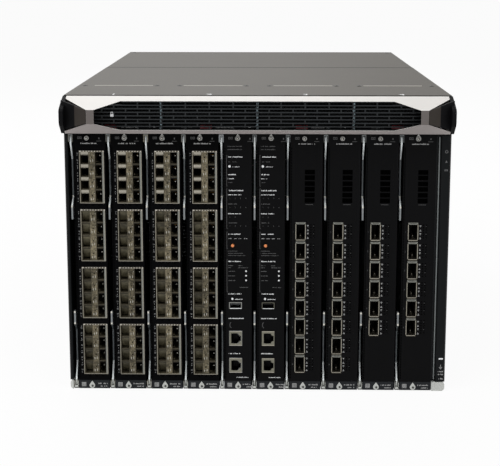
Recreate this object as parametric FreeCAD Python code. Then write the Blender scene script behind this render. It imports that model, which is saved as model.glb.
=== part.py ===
import FreeCAD, Part
import math
import os

# A ten-slot modular chassis switch, 8 rack units high, as it comes apart on a bench.
# Millimetres. The origin is the centre of the chassis' bottom face, the front faces -Y, up is +Z.

os.makedirs("parts", exist_ok=True)

# Driving dimensions of the chassis. Its width, depth and height follow from what it holds.
sheet = 1.5                      # folded steel of the shell, covers, shelf and rear frame
running_gap = 0.3                # between pieces that slide past each other
edge_gap = 0.6                   # between neighbouring faceplates and panels

# Slots, left to right: four 32-port line cards, two managers, two 8-port and two 6-port line cards.
line_card_pitch = 43.2
manager_pitch = 38.15
left_margin = 4.0
right_margin = 16.1
card_bottom = 1.0
card_height = 305.5
card_depth = 319.0               # from the front plane to the rear edge of the circuit board
small_card_count = 4
manager_count = 2
large_card_count = 4

# Faceplates.
lever_column = 5.9               # the gap at each card's left edge, where its two levers lie
face_thickness = 1.6
flange_thickness = 1.2
flange_depth = 12.0              # short enough to stop in front of the rails

# Carrier plate, board, heat sink and rear connector of a card.
carrier_thickness = 1.2
board_thickness = 1.6
board_edge = 9.0                 # how far the board stays inside the faceplate's ends
standoff_width = 8.0
plug_length = 130.0
plug_seat = 10.0                 # how far a plug lies over its board
plug_width = 9.0
sink_length = 90.0
sink_height = 80.0
sink_rise = 22.0
fin_thickness = 4.0

# Ports of the 32-port cards: four blocks, each four rows by two columns.
block_count = 4
block_rows = 4
block_gap = 7.8                  # between one block and the next
block_width = 27.8
block_depth = 46.0
block_base = 18.4                # height of the lowest block above the faceplate's lower end
block_headroom = 19.7            # from the highest block to the faceplate's upper end
small_cage_offset = 13.2         # from the card's left edge to the face of the board, where the cages stand
cage_wall = 1.0
divider_set_back = 0.8
divider_thickness = 1.0          # between the rows
light_strip = 7.2                # the stamped strip between the two columns
cage_proud = 0.5                 # how far the cages stand in front of the faceplate
window_gap = 0.3

# Ports of the 8-port and 6-port cards, one column each.
large_port_pitch = 22.9
large_cage_width = 12.2
large_cage_gap = 0.6
large_side_wall = 1.4
large_end_wall = 2.45
large_port_depth = 40.0
large_cage_depth = 52.0
large_cage_offset = 12.0
large_ports_top = 202.8          # top of the upper cage above the faceplate's lower end
many_ports = 8
many_port_cards = 2
few_ports = 6
vent_rows = 3
vent_pitch = 13.4
vent_width = 11.4
vent_height = 12.0
vent_offset = 22.6
vent_base = 225.6

# Manager cards: two jacks, one serial bus socket and one lit button.
jack_width = 15.2
jack_height = 18.4
jack_depth = 16.0
jack_offset = 11.5
jack_bases = (20.4, 53.6)
jack_mouth_width = 6.6
jack_mouth_height = 11.6
jack_step_height = 6.2
jack_step_depth = 2.8
jack_margin = 1.4
socket_width = 15.0
socket_height = 8.0
socket_depth = 17.0
socket_base = 98.8
socket_tongue = 1.6
button_offset = 15.8
button_rise = 174.8
button_size = 3.4
button_travel = 1.0
button_collar = 0.6

# Captive screws.
captive_radius = 3.25
captive_height = 2.4
captive_inset = 4.7
captive_offset = 21.9

# Ejector levers and the corner blocks that carry them.
corner_block_height = 9.6
corner_block_depth = 11.0
corner_floor = 1.94
lever_thickness = 2.0
heel_radius = 3.5
heel_gap = 0.06                  # running fit of the round heel on the block's floor
heel_inset = 5.5                 # from the front plane to the lever's axis
lever_edge = 0.8                 # the lever's front edge stays this far behind the front plane
lever_recess = 10.0              # how far the middle of a lever lies behind the front plane
lever_back = 17.5
lower_lever_reach = 94.7         # from the faceplate's end to the lever's tip
upper_lever_reach = 100.6
lever_slope_start = 11.0
lever_knee = 31.0
finger_length = 15.5
finger_slope = 10.0
finger_depth = 6.0
nose_reach = 12.6                # how far behind the front plane the lever's nose ends

# Rails that the noses bear on.
rail_front = 13.5
rail_depth = 4.5
rail_rise = 3.2                  # how far the rails reach over the ends of the faceplates

# Guides.
guide_height = 7.0
guide_groove = 3.3
guide_start = 30.0

# Midplane and power backplane.
midplane_gap = 26.0              # from the cards' boards to the midplane
midplane_thickness = 3.2
mate_gap = 0.3
mate_depth = 9.0

# Shelf, uprights and power supplies.
shelf_gap = 0.5                  # between the cards and the shelf
supply_count = 4
upright_flange = 32.0
supply_side_gap = 2.3
supply_height = 38.4
supply_depth = 290.0
supply_inset = 15.0
supply_tab_base = 2.0
supply_tab_reach = 6.0
supply_tab_width = 14.5
supply_tab_offset = -4.0
supply_tab_height = 4.0
supply_connector_width = 60.0
supply_connector_height = 12.0
supply_connector_depth = 3.4
bail_width = 40.0
bail_offset = 28.0
bail_reach = 20.0                # how far the bail stands in front of its case
bail_bar = 4.0
duct_width = 34.0
duct_height = 22.0

# Covers.
cover_inset = 6.0                # the front cover stops this far behind the front plane
cover_seam = 339.0               # the seam behind the front plane
seam_gap = 0.6
rib_line = 101.0                 # the pressed ribs and the screw line behind the front plane
rib_width = 3.0
rib_height = 0.5
rib_margin = 19.0                # from an upright to the end of a rib
cover_flange = 14.0
cover_screw_radius = 3.2
cover_screw_height = 0.6
cover_screw_pair = 14.0          # from an upright to each of its two screws

# Bezel: a hollow silver bar, wedge-shaped from the side, proudest at its two waists.
bezel_front = 30.0               # in front of the front plane
bezel_back = 2.0
bezel_gap = 1.0                  # over the shelf
bezel_skin = 2.4
bezel_inset = 0.5                # its ends stay inside the chassis' width
lower_slope = 13.0               # depth of the slanting underside
end_low = 3.0                    # height of the silver bands at the ends
end_high = 2.5
grip_width = 30.3                # from the bezel's end to its waist
waist_width = 8.5
waist_margin = 12.5              # height of the slanting bands over and under the waist
window_slope = 27.7              # width of the slanting ends of the grille's opening
window_low = 4.3                 # above the bezel's base
window_headroom = 4.75           # below the bezel's top
grille_inset = 19.0              # behind the waist
grille_depth = 4.0
grille_shoulder = 2.0            # how far the plate's ends stay below the opening's top
grille_rows = 8
slat_height = 1.6
grille_slot = 150.0
grille_web = 8.0
shortest_slot = 24.0
facet_inset = 0.6
facet_width = 14.0
facet_drop = 6.0
grip_drop = 11.0
grip_thickness = 4.0
clip_width = 8.0

# Silver front sill and the trims beside the cards.
sill_height = 11.0
sill_corner = 2.5
trim_depth = 13.0
right_step = 5.0
right_step_depth = 4.0

# Rear: frame, fan trays, fabric modules and inlets.
tray_count = 3
tray_side_gap = 6.3              # between one tray and the next
tray_depth = 100.0
tray_base = 4.8
tray_headroom = 8.2              # from the trays to the shelf
tray_wall = 1.2
fan_columns = 2
fan_rows = 3
fan_window = 58.0
rotor_radius = 28.0
rotor_hub = 11.0
rotor_blades = 4
rotor_depth = 22.0
rotor_inset = 20.0               # from the rear face to the rotors
motor_bar_width = 14.0
motor_bar_depth = 4.0
handle_reach = 23.0
handle_length = 84.0
handle_bar = 7.0
handle_width = 12.0
tray_screw_inset = 12.0
module_plug_width = 40.0
module_plug_height = 16.0
module_depth = 143.0
module_gap = 7.0                 # between a fan tray and the fabric module before it
module_standoff = 11.8           # between the midplane and a fabric module
module_bar = 22.0
inlet_width = 32.0
inlet_height = 26.0
inlet_depth = 30.0
inlet_proud = 1.5
inlet_pocket_width = 27.0
inlet_pocket_height = 19.5
inlet_pocket_depth = 20.0
pin_width = 2.0
pin_height = 8.0
pin_length = 14.0
pin_spacing = 7.0

# Worked out from the dimensions above.
line_card_count = small_card_count + large_card_count
cards_width = line_card_count * line_card_pitch + manager_count * manager_pitch
chassis_width = left_margin + cards_width + right_margin
midplane_front = card_depth + midplane_gap
module_reach = midplane_front + midplane_thickness + module_standoff
chassis_depth = module_reach + module_depth + module_gap + tray_depth
front = -chassis_depth / 2
rear = chassis_depth / 2
half_width = chassis_width / 2
inside = half_width - sheet
card_top = card_bottom + card_height
card_middle = card_bottom + card_height / 2
shelf_base = card_top + shelf_gap
shelf_top = shelf_base + sheet
groove_base = sheet + guide_height - guide_groove
carrier_base = groove_base + running_gap
upper_groove = shelf_base - guide_height + guide_groove
carrier_top = upper_groove - running_gap
heel_y = front + heel_inset
heel_z = card_bottom + corner_floor + heel_gap + heel_radius
block_height = (card_height - block_base - block_headroom - (block_count - 1) * block_gap) / block_count
block_pitch = block_height + block_gap
large_cage_height = large_port_pitch - large_cage_gap
large_port_width = large_cage_width - 2 * large_side_wall
large_port_height = large_cage_height - 2 * large_end_wall
supply_base = shelf_top + running_gap
supply_top = supply_base + supply_height
lid_base = supply_top + running_gap + sheet
chassis_height = lid_base + sheet
supply_pitch = (2 * inside + sheet) / supply_count
supply_width = supply_pitch - sheet - 2 * supply_side_gap
bezel_half = half_width - bezel_inset
bezel_base = shelf_top + bezel_gap
waist_outer = bezel_half - grip_width
waist_inner = waist_outer - waist_width
waist_base = bezel_base + waist_margin
waist_top = chassis_height - waist_margin
window_half = waist_inner - window_slope
window_base = bezel_base + window_low
window_top = chassis_height - window_headroom
module_front = front + module_reach
module_rear = module_front + module_depth
tray_pitch = 2 * inside / tray_count
tray_width = tray_pitch - tray_side_gap
tray_height = shelf_base - tray_headroom - tray_base
tray_middle = tray_base + tray_height / 2


def block(x0, x1, y0, y1, z0, z1):
    return Part.makeBox(x1 - x0, y1 - y0, z1 - z0, FreeCAD.Vector(x0, y0, z0))


def prism(points, direction):
    wire = Part.makePolygon(points + [points[0]])
    return Part.Face(wire).extrude(direction)


def along_x(outline, x0, x1):
    return prism([FreeCAD.Vector(x0, y, z) for y, z in outline], FreeCAD.Vector(x1 - x0, 0, 0))


def along_y(outline, y0, y1):
    return prism([FreeCAD.Vector(x, y0, z) for x, z in outline], FreeCAD.Vector(0, y1 - y0, 0))


def along_z(outline, z0, z1):
    return prism([FreeCAD.Vector(x, y, z0) for x, y in outline], FreeCAD.Vector(0, 0, z1 - z0))


def joined(first, *others):
    return first.fuse(list(others)).removeSplitter()


def upside_down(shape):
    """The same piece at the card's other end."""
    return shape.mirror(FreeCAD.Vector(0, 0, card_middle), FreeCAD.Vector(0, 0, 1))


def hexagon(radius, x, z):
    turns = [math.radians(60 * corner) for corner in range(6)]
    return [(x + radius * math.cos(turn), z + radius * math.sin(turn)) for turn in turns]


def save(name, *solids):
    Part.makeCompound(list(solids)).exportStep("parts/" + name + ".step")


def uprights():
    """Centres of the walls between the power supplies."""
    return [supply_pitch * (place - supply_count / 2) for place in range(1, supply_count)]


def supply_centres():
    return [supply_pitch * (place - (supply_count - 1) / 2) for place in range(supply_count)]


def tray_centres():
    return [tray_pitch * (place - (tray_count - 1) / 2) for place in range(tray_count)]


# Chassis.

def chassis_shell():
    floor_front = front + rail_front + rail_depth + edge_gap
    floor = block(-half_width, half_width, floor_front, rear, 0, sheet)
    pieces = []
    for side in (-1, 1):
        wall_x = sorted((side * half_width, side * inside))
        notched = [
            (floor_front, 0),
            (rear, 0),
            (rear, lid_base),
            (front, lid_base),
            (front, sill_height + edge_gap),
            (floor_front, sill_height + edge_gap),
        ]
        pieces.append(along_x(notched, *wall_x))
        flange_x = sorted((side * inside, side * (inside - cover_flange)))
        flange_front = front + cover_inset
        pieces.append(block(*flange_x, flange_front, rear - sheet, lid_base - sheet, lid_base))
    return joined(floor, *pieces)


def cover(y0, y1):
    return block(-half_width, half_width, y0, y1, lid_base, chassis_height)


def front_cover():
    plate = cover(front + cover_inset, front + cover_seam)
    walls = [-inside] + uprights() + [inside]
    y0 = front + rib_line - rib_width / 2
    ribs = []
    for left, right in zip(walls, walls[1:]):
        ridge = [
            (y0, chassis_height),
            (y0 + rib_width, chassis_height),
            (y0 + rib_width * 0.75, chassis_height + rib_height),
            (y0 + rib_width * 0.25, chassis_height + rib_height),
        ]
        ribs.append(along_x(ridge, left + rib_margin, right - rib_margin))
    return joined(plate, *ribs)


def cover_screws():
    spots = []
    for wall in uprights():
        spots += [(wall - cover_screw_pair, rib_line), (wall + cover_screw_pair, rib_line)]
    edge = inside - cover_flange / 2
    for side in (-edge, edge):
        spots += [(side, rib_line), (side, chassis_depth - cover_flange)]
    heads = []
    for x, back in spots:
        outline = hexagon(cover_screw_radius, x, front + back)
        heads.append(along_z(outline, chassis_height, chassis_height + cover_screw_height))
    return heads


def bay_shelf():
    plate = block(-inside, inside, front, rear - sheet, shelf_base, shelf_top)
    rail_y = front + rail_front
    rail = block(-inside, inside, rail_y, rail_y + rail_depth, card_top - rail_rise, shelf_base)
    pieces = [rail]
    wall_end = front + supply_inset + supply_depth
    for wall in uprights():
        tee = [
            (wall - sheet / 2, shelf_top),
            (wall + sheet / 2, shelf_top),
            (wall + sheet / 2, lid_base - sheet),
            (wall + upright_flange / 2, lid_base - sheet),
            (wall + upright_flange / 2, lid_base),
            (wall - upright_flange / 2, lid_base),
            (wall - upright_flange / 2, lid_base - sheet),
            (wall - sheet / 2, lid_base - sheet),
        ]
        pieces.append(along_y(tee, front + cover_inset, wall_end))
    return joined(plate, *pieces)


def slots():
    """Each card's left edge and pitch, and where its board's face lies, from left to right."""
    kinds = [(line_card_pitch, small_cage_offset)] * small_card_count
    kinds += [(manager_pitch, jack_offset)] * manager_count
    kinds += [(line_card_pitch, large_cage_offset)] * large_card_count
    places = []
    edge = -half_width + left_margin
    for pitch, face_offset in kinds:
        places.append((edge, pitch, edge + face_offset))
        edge += pitch
    return places


def cards_right():
    left, pitch, _ = slots()[-1]
    return left + pitch


def card_guides():
    """A grooved plate under the cards and one over them, and the floor plate that the rear modules slide on."""
    y0 = front + guide_start
    y1 = front + midplane_front + midplane_thickness
    groove_half = carrier_thickness / 2 + running_gap
    top = sheet + guide_height
    outline = [(-inside, sheet), (-inside, top)]
    for left, _, _ in slots():
        centre = left + lever_column + flange_thickness + carrier_thickness / 2
        outline += [
            (centre - groove_half, top),
            (centre - groove_half, groove_base),
            (centre + groove_half, groove_base),
            (centre + groove_half, top),
        ]
    outline += [(inside, top), (inside, sheet)]
    lower = along_y(outline, y0, y1)
    flipped = [(x, sheet + shelf_base - z) for x, z in outline]
    upper = along_y(flipped, y0, y1)
    rear_floor = block(-inside, inside, module_front, rear - sheet, sheet, tray_base - running_gap)
    return [lower, upper, rear_floor]


def midplane():
    y0 = front + midplane_front
    y1 = y0 + midplane_thickness
    board = block(-inside, inside, y0, y1, sheet + guide_height, shelf_base - guide_height)
    pieces = [board]
    for _, _, face in slots():
        pieces.append(block(face, face + plug_width, y0 - mate_depth, y0, card_middle - plug_length / 2,
                            card_middle + plug_length / 2))
    for centre in tray_centres():
        half = module_plug_width / 2
        pieces.append(block(centre - half, centre + half, y1, module_front - mate_gap,
                            tray_middle - module_plug_height, tray_middle + module_plug_height))
    return pieces


def power_backplane():
    """The board that the power supplies plug into, and the closed wiring duct from it to each inlet."""
    y0 = front + supply_inset + supply_depth + supply_connector_depth + mate_gap + supply_connector_depth
    y1 = y0 + board_thickness
    middle = (supply_base + supply_top) / 2
    pieces = [block(-inside, inside, y0, y1, shelf_top, lid_base - sheet)]
    for centre in supply_centres():
        half = supply_connector_width / 2
        rise = supply_connector_height / 2
        pieces.append(block(centre - half, centre + half, y0 - supply_connector_depth, y0, middle - rise, middle + rise))
        duct_x = duct_width / 2
        duct_z = duct_height / 2
        pieces.append(block(centre - duct_x, centre + duct_x, y1, rear - inlet_depth, middle - duct_z, middle + duct_z))
    return pieces


def front_sill():
    y0 = front + rail_front
    y1 = y0 + rail_depth
    rail_top = card_bottom + rail_rise
    rail = block(-half_width, half_width, y0, y1, 0, rail_top)
    ends = []
    for side, width in ((-1, left_margin - edge_gap / 2), (1, half_width - cards_right() - edge_gap / 2)):
        outer = side * half_width
        outline = [
            (outer - side * sill_corner, 0),
            (outer - side * width, 0),
            (outer - side * width, sill_height),
            (outer - side * sill_corner, sill_height),
            (outer, sill_height - sill_corner),
            (outer, sill_corner),
        ]
        ends.append(along_y(outline, front, y1))
    return joined(rail, *ends)


def left_trim():
    z1 = card_top - edge_gap
    outline = [
        (-inside, front),
        (-half_width + left_margin - edge_gap / 2, front),
        (-half_width + left_margin - edge_gap / 2, front + trim_depth),
        (-inside, front + trim_depth),
    ]
    return along_z(outline, sill_height + edge_gap, z1)


def right_trim():
    """A strip folded to two levels, with the inner one set back."""
    inner = cards_right() + edge_gap / 2
    step = inner + right_step
    back = front + right_step_depth
    outline = [
        (inner, back),
        (step, back),
        (step, front),
        (inside, front),
        (inside, front + sheet),
        (step + sheet, front + sheet),
        (step + sheet, back + sheet),
        (inner + sheet, back + sheet),
        (inner + sheet, front + trim_depth),
        (inner, front + trim_depth),
    ]
    return along_z(outline, sill_height + edge_gap, card_top - edge_gap)


def rear_frame():
    plate = block(-inside, inside, rear - sheet, rear, sheet, lid_base)
    windows = []
    for centre in tray_centres():
        half = tray_width / 2 + edge_gap
        windows.append(block(centre - half, centre + half, rear - sheet, rear, tray_base - edge_gap / 2,
                             tray_base + tray_height + edge_gap))
    middle = (supply_base + supply_top) / 2
    for centre in supply_centres():
        half = inlet_width / 2
        rise = inlet_height / 2
        windows.append(block(centre - half, centre + half, rear - sheet, rear, middle - rise, middle + rise))
    return plate.cut(windows)


def power_inlets():
    pieces = []
    middle = (supply_base + supply_top) / 2
    for centre in supply_centres():
        half = inlet_width / 2
        rise = inlet_height / 2
        mouth = rear + inlet_proud
        body = block(centre - half, centre + half, rear - inlet_depth, mouth, middle - rise, middle + rise)
        pocket_x = inlet_pocket_width / 2
        pocket_z = inlet_pocket_height / 2
        floor = mouth - inlet_pocket_depth
        pocket = block(centre - pocket_x, centre + pocket_x, floor, mouth, middle - pocket_z, middle + pocket_z)
        pieces.append(body.cut(pocket))
        for place in (-1, 0, 1):
            x = centre + place * pin_spacing
            z = middle + (pin_height / 4 if place == 0 else -pin_height / 4)
            pieces.append(block(x - pin_width / 2, x + pin_width / 2, floor, floor + pin_length,
                                z - pin_height / 2, z + pin_height / 2))
    return pieces


# Bezel.

def bezel_section(skin):
    """The bezel from the side, or its hollow, a skin inside it."""
    back = front - bezel_back
    face = front - bezel_front + skin
    return [
        (back, bezel_base + skin),
        (face + lower_slope, bezel_base + skin),
        (face, waist_base),
        (face, waist_top),
        (back, chassis_height - skin),
    ]


def bezel_window(grow):
    """The grille's opening in the frame, seen from the front."""
    inner = waist_inner + grow
    half = window_half + grow / 2
    return [
        (-inner, waist_base),
        (-inner, waist_top),
        (-half, window_top + grow),
        (half, window_top + grow),
        (inner, waist_top),
        (inner, waist_base),
        (half, window_base - grow),
        (-half, window_base - grow),
    ]


def bezel_end(side, shrink):
    """The notch at one end, between the two silver bands."""
    return [
        (side * (waist_outer + shrink), waist_base + shrink),
        (side * half_width, bezel_base + end_low + shrink),
        (side * half_width, chassis_height - end_high - shrink),
        (side * (waist_outer + shrink), waist_top - shrink),
    ]


def bezel_frame():
    y0 = front - bezel_front
    y1 = front - bezel_back
    inner = bezel_half - bezel_skin
    body = along_x(bezel_section(0), -bezel_half, bezel_half)
    hollow = along_x(bezel_section(bezel_skin), -inner, inner)
    notches = [along_y(bezel_end(side, 0), y0, y1 - bezel_skin) for side in (-1, 1)]
    body = body.cut([hollow, along_y(bezel_window(0), y0, y1)] + notches)
    clips = []
    for side in (-1, 1):
        x = sorted((side * bezel_half, side * (bezel_half - clip_width)))
        clips.append(block(*x, y1 - bezel_skin, front - running_gap,
                           chassis_height - clip_width, chassis_height - bezel_skin))
    return joined(body, *clips)


def bezel_grille():
    """Staggered slots in one plate, with a grip at each end."""
    y0 = front - bezel_front + grille_inset
    y1 = y0 + grille_depth
    shoulder = waist_outer - bezel_skin
    foot = bezel_base + bezel_skin + running_gap
    plate = joined(block(-shoulder, shoulder, y0, y1, foot, window_top - grille_shoulder),
                   along_y(bezel_window(-running_gap), y0, y1))
    row_pitch = (window_top - running_gap - window_base - slat_height) / grille_rows
    step = grille_slot + grille_web
    slots = []
    for row in range(grille_rows):
        z0 = window_base + slat_height + row * row_pitch
        z1 = z0 + row_pitch - slat_height
        shift = step / 2 if row % 2 else 0
        reach = window_half if row in (0, grille_rows - 1) else waist_inner - grille_web
        last = math.ceil(reach / step)
        for place in range(-last - 1, last + 1):
            x0 = max(place * step + shift - grille_slot / 2, -reach)
            x1 = min(place * step + shift + grille_slot / 2, reach)
            if x1 - x0 > shortest_slot:
                slots.append(block(x0, x1, y0, y1, z0, z1))
    grips = []
    for side in (-1, 1):
        end = side * bezel_half
        face = front - bezel_front + facet_inset
        inner = side * (waist_outer + running_gap)
        crease = side * (waist_outer + facet_width)
        section = [
            (inner, face),
            (crease, face + facet_drop),
            (end, face + grip_drop),
            (end, face + grip_drop + grip_thickness),
            (crease, face + facet_drop + grip_thickness),
            (inner, face + grip_thickness),
        ]
        bar = along_z(section, bezel_base, chassis_height)
        opening = along_y(bezel_end(side, running_gap), face, face + grip_drop + grip_thickness)
        grips.append(bar.common(opening))
    return [plate.cut(slots)] + grips


# Power supplies.

def power_supply(centre):
    """A closed case with a bail and a release tab at its front and a plug at its rear."""
    face = front + supply_inset
    y1 = face + supply_depth
    half = supply_width / 2
    case = block(centre - half, centre + half, face, y1, supply_base, supply_top)
    middle = (supply_base + supply_top) / 2
    bail_left = centre + bail_offset - bail_width / 2
    bail_right = bail_left + bail_width
    bail_front = face - bail_reach
    bail_outline = [
        (bail_left, face),
        (bail_left, bail_front),
        (bail_right, bail_front),
        (bail_right, face),
        (bail_right - bail_bar, face),
        (bail_right - bail_bar, bail_front + bail_bar),
        (bail_left + bail_bar, bail_front + bail_bar),
        (bail_left + bail_bar, face),
    ]
    bail = along_z(bail_outline, middle - bail_bar, middle + bail_bar)
    tab_x = centre + supply_tab_offset
    tab_z = supply_base + supply_tab_base
    tab = block(tab_x - supply_tab_width / 2, tab_x + supply_tab_width / 2, face - supply_tab_reach, face,
                tab_z, tab_z + supply_tab_height)
    plug_half = supply_connector_width / 2
    rise = supply_connector_height / 2
    plug = block(centre - plug_half, centre + plug_half, y1, y1 + supply_connector_depth, middle - rise, middle + rise)
    return [case, bail, tab, plug]


# Cards.

def faceplate(left, pitch, windows):
    """A folded plate with a flange at each side."""
    x0 = left + lever_column
    x1 = left + pitch - edge_gap / 2
    back = front + face_thickness
    section = [
        (x0, front),
        (x1, front),
        (x1, front + flange_depth),
        (x1 - flange_thickness, front + flange_depth),
        (x1 - flange_thickness, back),
        (x0 + flange_thickness, back),
        (x0 + flange_thickness, front + flange_depth),
        (x0, front + flange_depth),
    ]
    return along_z(section, card_bottom, card_top).cut(windows)


def carrier(left, face):
    """The plate that slides in the guides, a standoff rail, the board on it, a plug and a heat sink."""
    x0 = left + lever_column + flange_thickness
    x1 = x0 + carrier_thickness
    board_x = face - board_thickness
    y0 = front + face_thickness
    y1 = front + card_depth
    plate = block(x0, x1, y0, y1, carrier_base, carrier_top)
    board = block(board_x, face, y0 + edge_gap, y1, card_bottom + board_edge, card_top - board_edge)
    rail = block(x1, board_x, front + flange_depth, y1 - standoff_width, card_middle - standoff_width / 2,
                 card_middle + standoff_width / 2)
    end = front + midplane_front - mate_depth - mate_gap
    plug = block(face, face + plug_width, y1 - plug_seat, end, card_middle - plug_length / 2,
                 card_middle + plug_length / 2)
    sink_y = front + card_depth / 2
    low = card_middle - sink_height / 2
    high = card_middle + sink_height / 2
    base_x = face + fin_thickness
    top_x = face + sink_rise
    outline = [
        (face, low),
        (top_x, low),
        (top_x, low + fin_thickness),
        (base_x, low + fin_thickness),
        (base_x, high - fin_thickness),
        (top_x, high - fin_thickness),
        (top_x, high),
        (face, high),
    ]
    sink = along_y(outline, sink_y, sink_y + sink_length)
    return [plate, board, rail, plug, sink]


def lever_span(left):
    centre = left + (edge_gap / 2 + lever_column) / 2
    return centre - lever_thickness / 2, centre + lever_thickness / 2


def corner_block(left):
    """A forked block at the card's lower corner. The lever's heel turns between its cheeks."""
    x0 = left + edge_gap / 2
    x1 = left + lever_column
    slot0, slot1 = lever_span(left)
    slot0 -= running_gap
    slot1 += running_gap
    floor = card_bottom + corner_floor
    top = card_bottom + corner_block_height
    section = [
        (x0, card_bottom),
        (x1, card_bottom),
        (x1, top),
        (slot1, top),
        (slot1, floor),
        (slot0, floor),
        (slot0, top),
        (x0, top),
    ]
    return along_y(section, front, front + corner_block_depth)


def lower_lever(left, reach):
    """A flat lever on a round heel: slanted root, set-back middle, finger end at the front, nose behind the heel."""
    x0, x1 = lever_span(left)
    base = card_bottom
    edge = front + lever_edge
    deep = front + lever_recess
    back = front + lever_back
    tip = base + reach
    finger = tip - finger_length
    nose = front + nose_reach
    outline = [
        (heel_y - heel_radius, heel_z),
        (edge, base + lever_slope_start),
        (deep, base + lever_knee),
        (deep, finger - finger_slope),
        (edge, finger),
        (edge, tip),
        (edge + finger_depth, tip),
        (back, finger - finger_slope),
        (back, base + lever_knee),
        (nose, heel_z - heel_radius / 2),
        (heel_y, heel_z - heel_radius),
    ]
    points = [FreeCAD.Vector(x0, y, z) for y, z in outline]
    edges = [Part.LineSegment(a, b).toShape() for a, b in zip(points, points[1:])]
    diagonal = heel_radius * math.sqrt(0.5)
    on_arc = FreeCAD.Vector(x0, heel_y - diagonal, heel_z - diagonal)
    edges.append(Part.Arc(points[-1], on_arc, points[0]).toShape())
    return Part.Face(Part.Wire(edges)).extrude(FreeCAD.Vector(x1 - x0, 0, 0))


def captive_screw(left, z):
    outline = hexagon(captive_radius, left + captive_offset, z)
    return along_y(outline, front - captive_height, front)


def card_furniture(left):
    """What every card has: corner blocks and captive screws, at both ends."""
    lower = corner_block(left)
    screw = captive_screw(left, card_bottom + captive_inset)
    return [lower, upside_down(lower), screw, upside_down(screw)]


def small_port_block(x0, base):
    """A stamped shell, the light strip that splits it into two columns, and three dividers in each column."""
    x1 = x0 + block_width
    y0 = front - cage_proud
    floor = front + block_depth - cage_wall
    shell = block(x0, x1, y0, front + block_depth, base, base + block_height)
    hollow = block(x0 + cage_wall, x1 - cage_wall, y0, floor, base + cage_wall, base + block_height - cage_wall)
    strip_x = x0 + (block_width - light_strip) / 2
    strip = block(strip_x, strip_x + light_strip, front, floor, base + cage_wall, base + block_height - cage_wall)
    pieces = [shell.cut(hollow), strip]
    row_pitch = (block_height - 2 * cage_wall + divider_thickness) / block_rows
    for row in range(1, block_rows):
        z1 = base + cage_wall + row * row_pitch
        for low, high in ((x0 + cage_wall, strip_x), (strip_x + light_strip, x1 - cage_wall)):
            pieces.append(block(low, high, front + divider_set_back, floor, z1 - divider_thickness, z1))
    return pieces


def window(x0, x1, z0, z1):
    return block(x0 - window_gap, x1 + window_gap, front, front + face_thickness, z0 - window_gap, z1 + window_gap)


def small_port_card(left, pitch, face):
    bases = [card_bottom + block_base + row * block_pitch for row in range(block_count)]
    cages = []
    for base in bases:
        cages += small_port_block(face, base)
    windows = [window(face, face + block_width, base, base + block_height) for base in bases]
    return [faceplate(left, pitch, windows)] + carrier(left, face) + cages + card_furniture(left)


def large_port(x0, base):
    y0 = front - cage_proud
    cage = block(x0, x0 + large_cage_width, y0, front + large_cage_depth, base, base + large_cage_height)
    port_x = x0 + (large_cage_width - large_port_width) / 2
    port_z = base + (large_cage_height - large_port_height) / 2
    mouth = block(port_x, port_x + large_port_width, y0, y0 + large_port_depth, port_z, port_z + large_port_height)
    return cage.cut(mouth)


def large_port_card(left, pitch, face, ports):
    top = card_bottom + large_ports_top
    bases = [top - large_cage_height - row * large_port_pitch for row in range(ports)]
    windows = [window(face, face + large_cage_width, bases[-1], top)]
    vent_x = left + vent_offset
    for row in range(vent_rows):
        z0 = card_bottom + vent_base + row * vent_pitch
        windows.append(block(vent_x, vent_x + vent_width, front, front + face_thickness, z0, z0 + vent_height))
    cages = [large_port(face, base) for base in bases]
    return [faceplate(left, pitch, windows)] + carrier(left, face) + cages + card_furniture(left)


def jack(x0, base):
    """A metal-shelled jack, turned on its side, with the latch's step to the right."""
    x1 = x0 + jack_width
    y0 = front - cage_proud
    shell = block(x0, x1, y0, front + jack_depth, base, base + jack_height)
    middle = base + jack_height / 2
    wide = jack_mouth_height / 2
    step = jack_step_height / 2
    mouth_left = x1 - jack_margin - jack_step_depth - jack_mouth_width
    shoulder = mouth_left + jack_mouth_width
    mouth_right = x1 - jack_margin
    mouth = [
        (mouth_left, middle - wide),
        (shoulder, middle - wide),
        (shoulder, middle - step),
        (mouth_right, middle - step),
        (mouth_right, middle + step),
        (shoulder, middle + step),
        (shoulder, middle + wide),
        (mouth_left, middle + wide),
    ]
    return shell.cut(along_y(mouth, y0, front + jack_depth - jack_margin))


def bus_socket(x0):
    """A flat shelled socket with its tongue."""
    x1 = x0 + socket_width
    y0 = front - cage_proud
    z0 = card_bottom + socket_base
    z1 = z0 + socket_height
    shell = block(x0, x1, y0, front + socket_depth, z0, z1)
    floor = front + socket_depth - cage_wall
    hollow = block(x0 + cage_wall, x1 - cage_wall, y0, floor, z0 + cage_wall, z1 - cage_wall)
    tongue = block(x0 + 2 * cage_wall, x1 - 2 * cage_wall, front + cage_wall, floor,
                   z1 - 2 * cage_wall - socket_tongue, z1 - 2 * cage_wall)
    return [shell.cut(hollow), tongue]


def manager_card(left, pitch, face):
    pieces = []
    windows = []
    for base in jack_bases:
        z0 = card_bottom + base
        pieces.append(jack(face, z0))
        windows.append(window(face, face + jack_width, z0, z0 + jack_height))
    pieces += bus_socket(face)
    z0 = card_bottom + socket_base
    windows.append(window(face, face + socket_width, z0, z0 + socket_height))
    x = left + button_offset
    z = card_bottom + button_rise
    half = button_size / 2
    windows.append(window(x - half, x + half, z - half, z + half))
    return [faceplate(left, pitch, windows)] + carrier(left, face) + pieces + card_furniture(left)


def mode_button(left):
    """A lit push button whose collar stays behind the faceplate."""
    x = left + button_offset
    z = card_bottom + button_rise
    half = button_size / 2
    wide = half + button_collar
    back = front + face_thickness + running_gap
    cap = block(x - half, x + half, front - button_travel, back, z - half, z + half)
    collar = block(x - wide, x + wide, back, back + button_collar, z - wide, z + wide)
    return joined(cap, collar)


# Rear modules.

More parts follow.
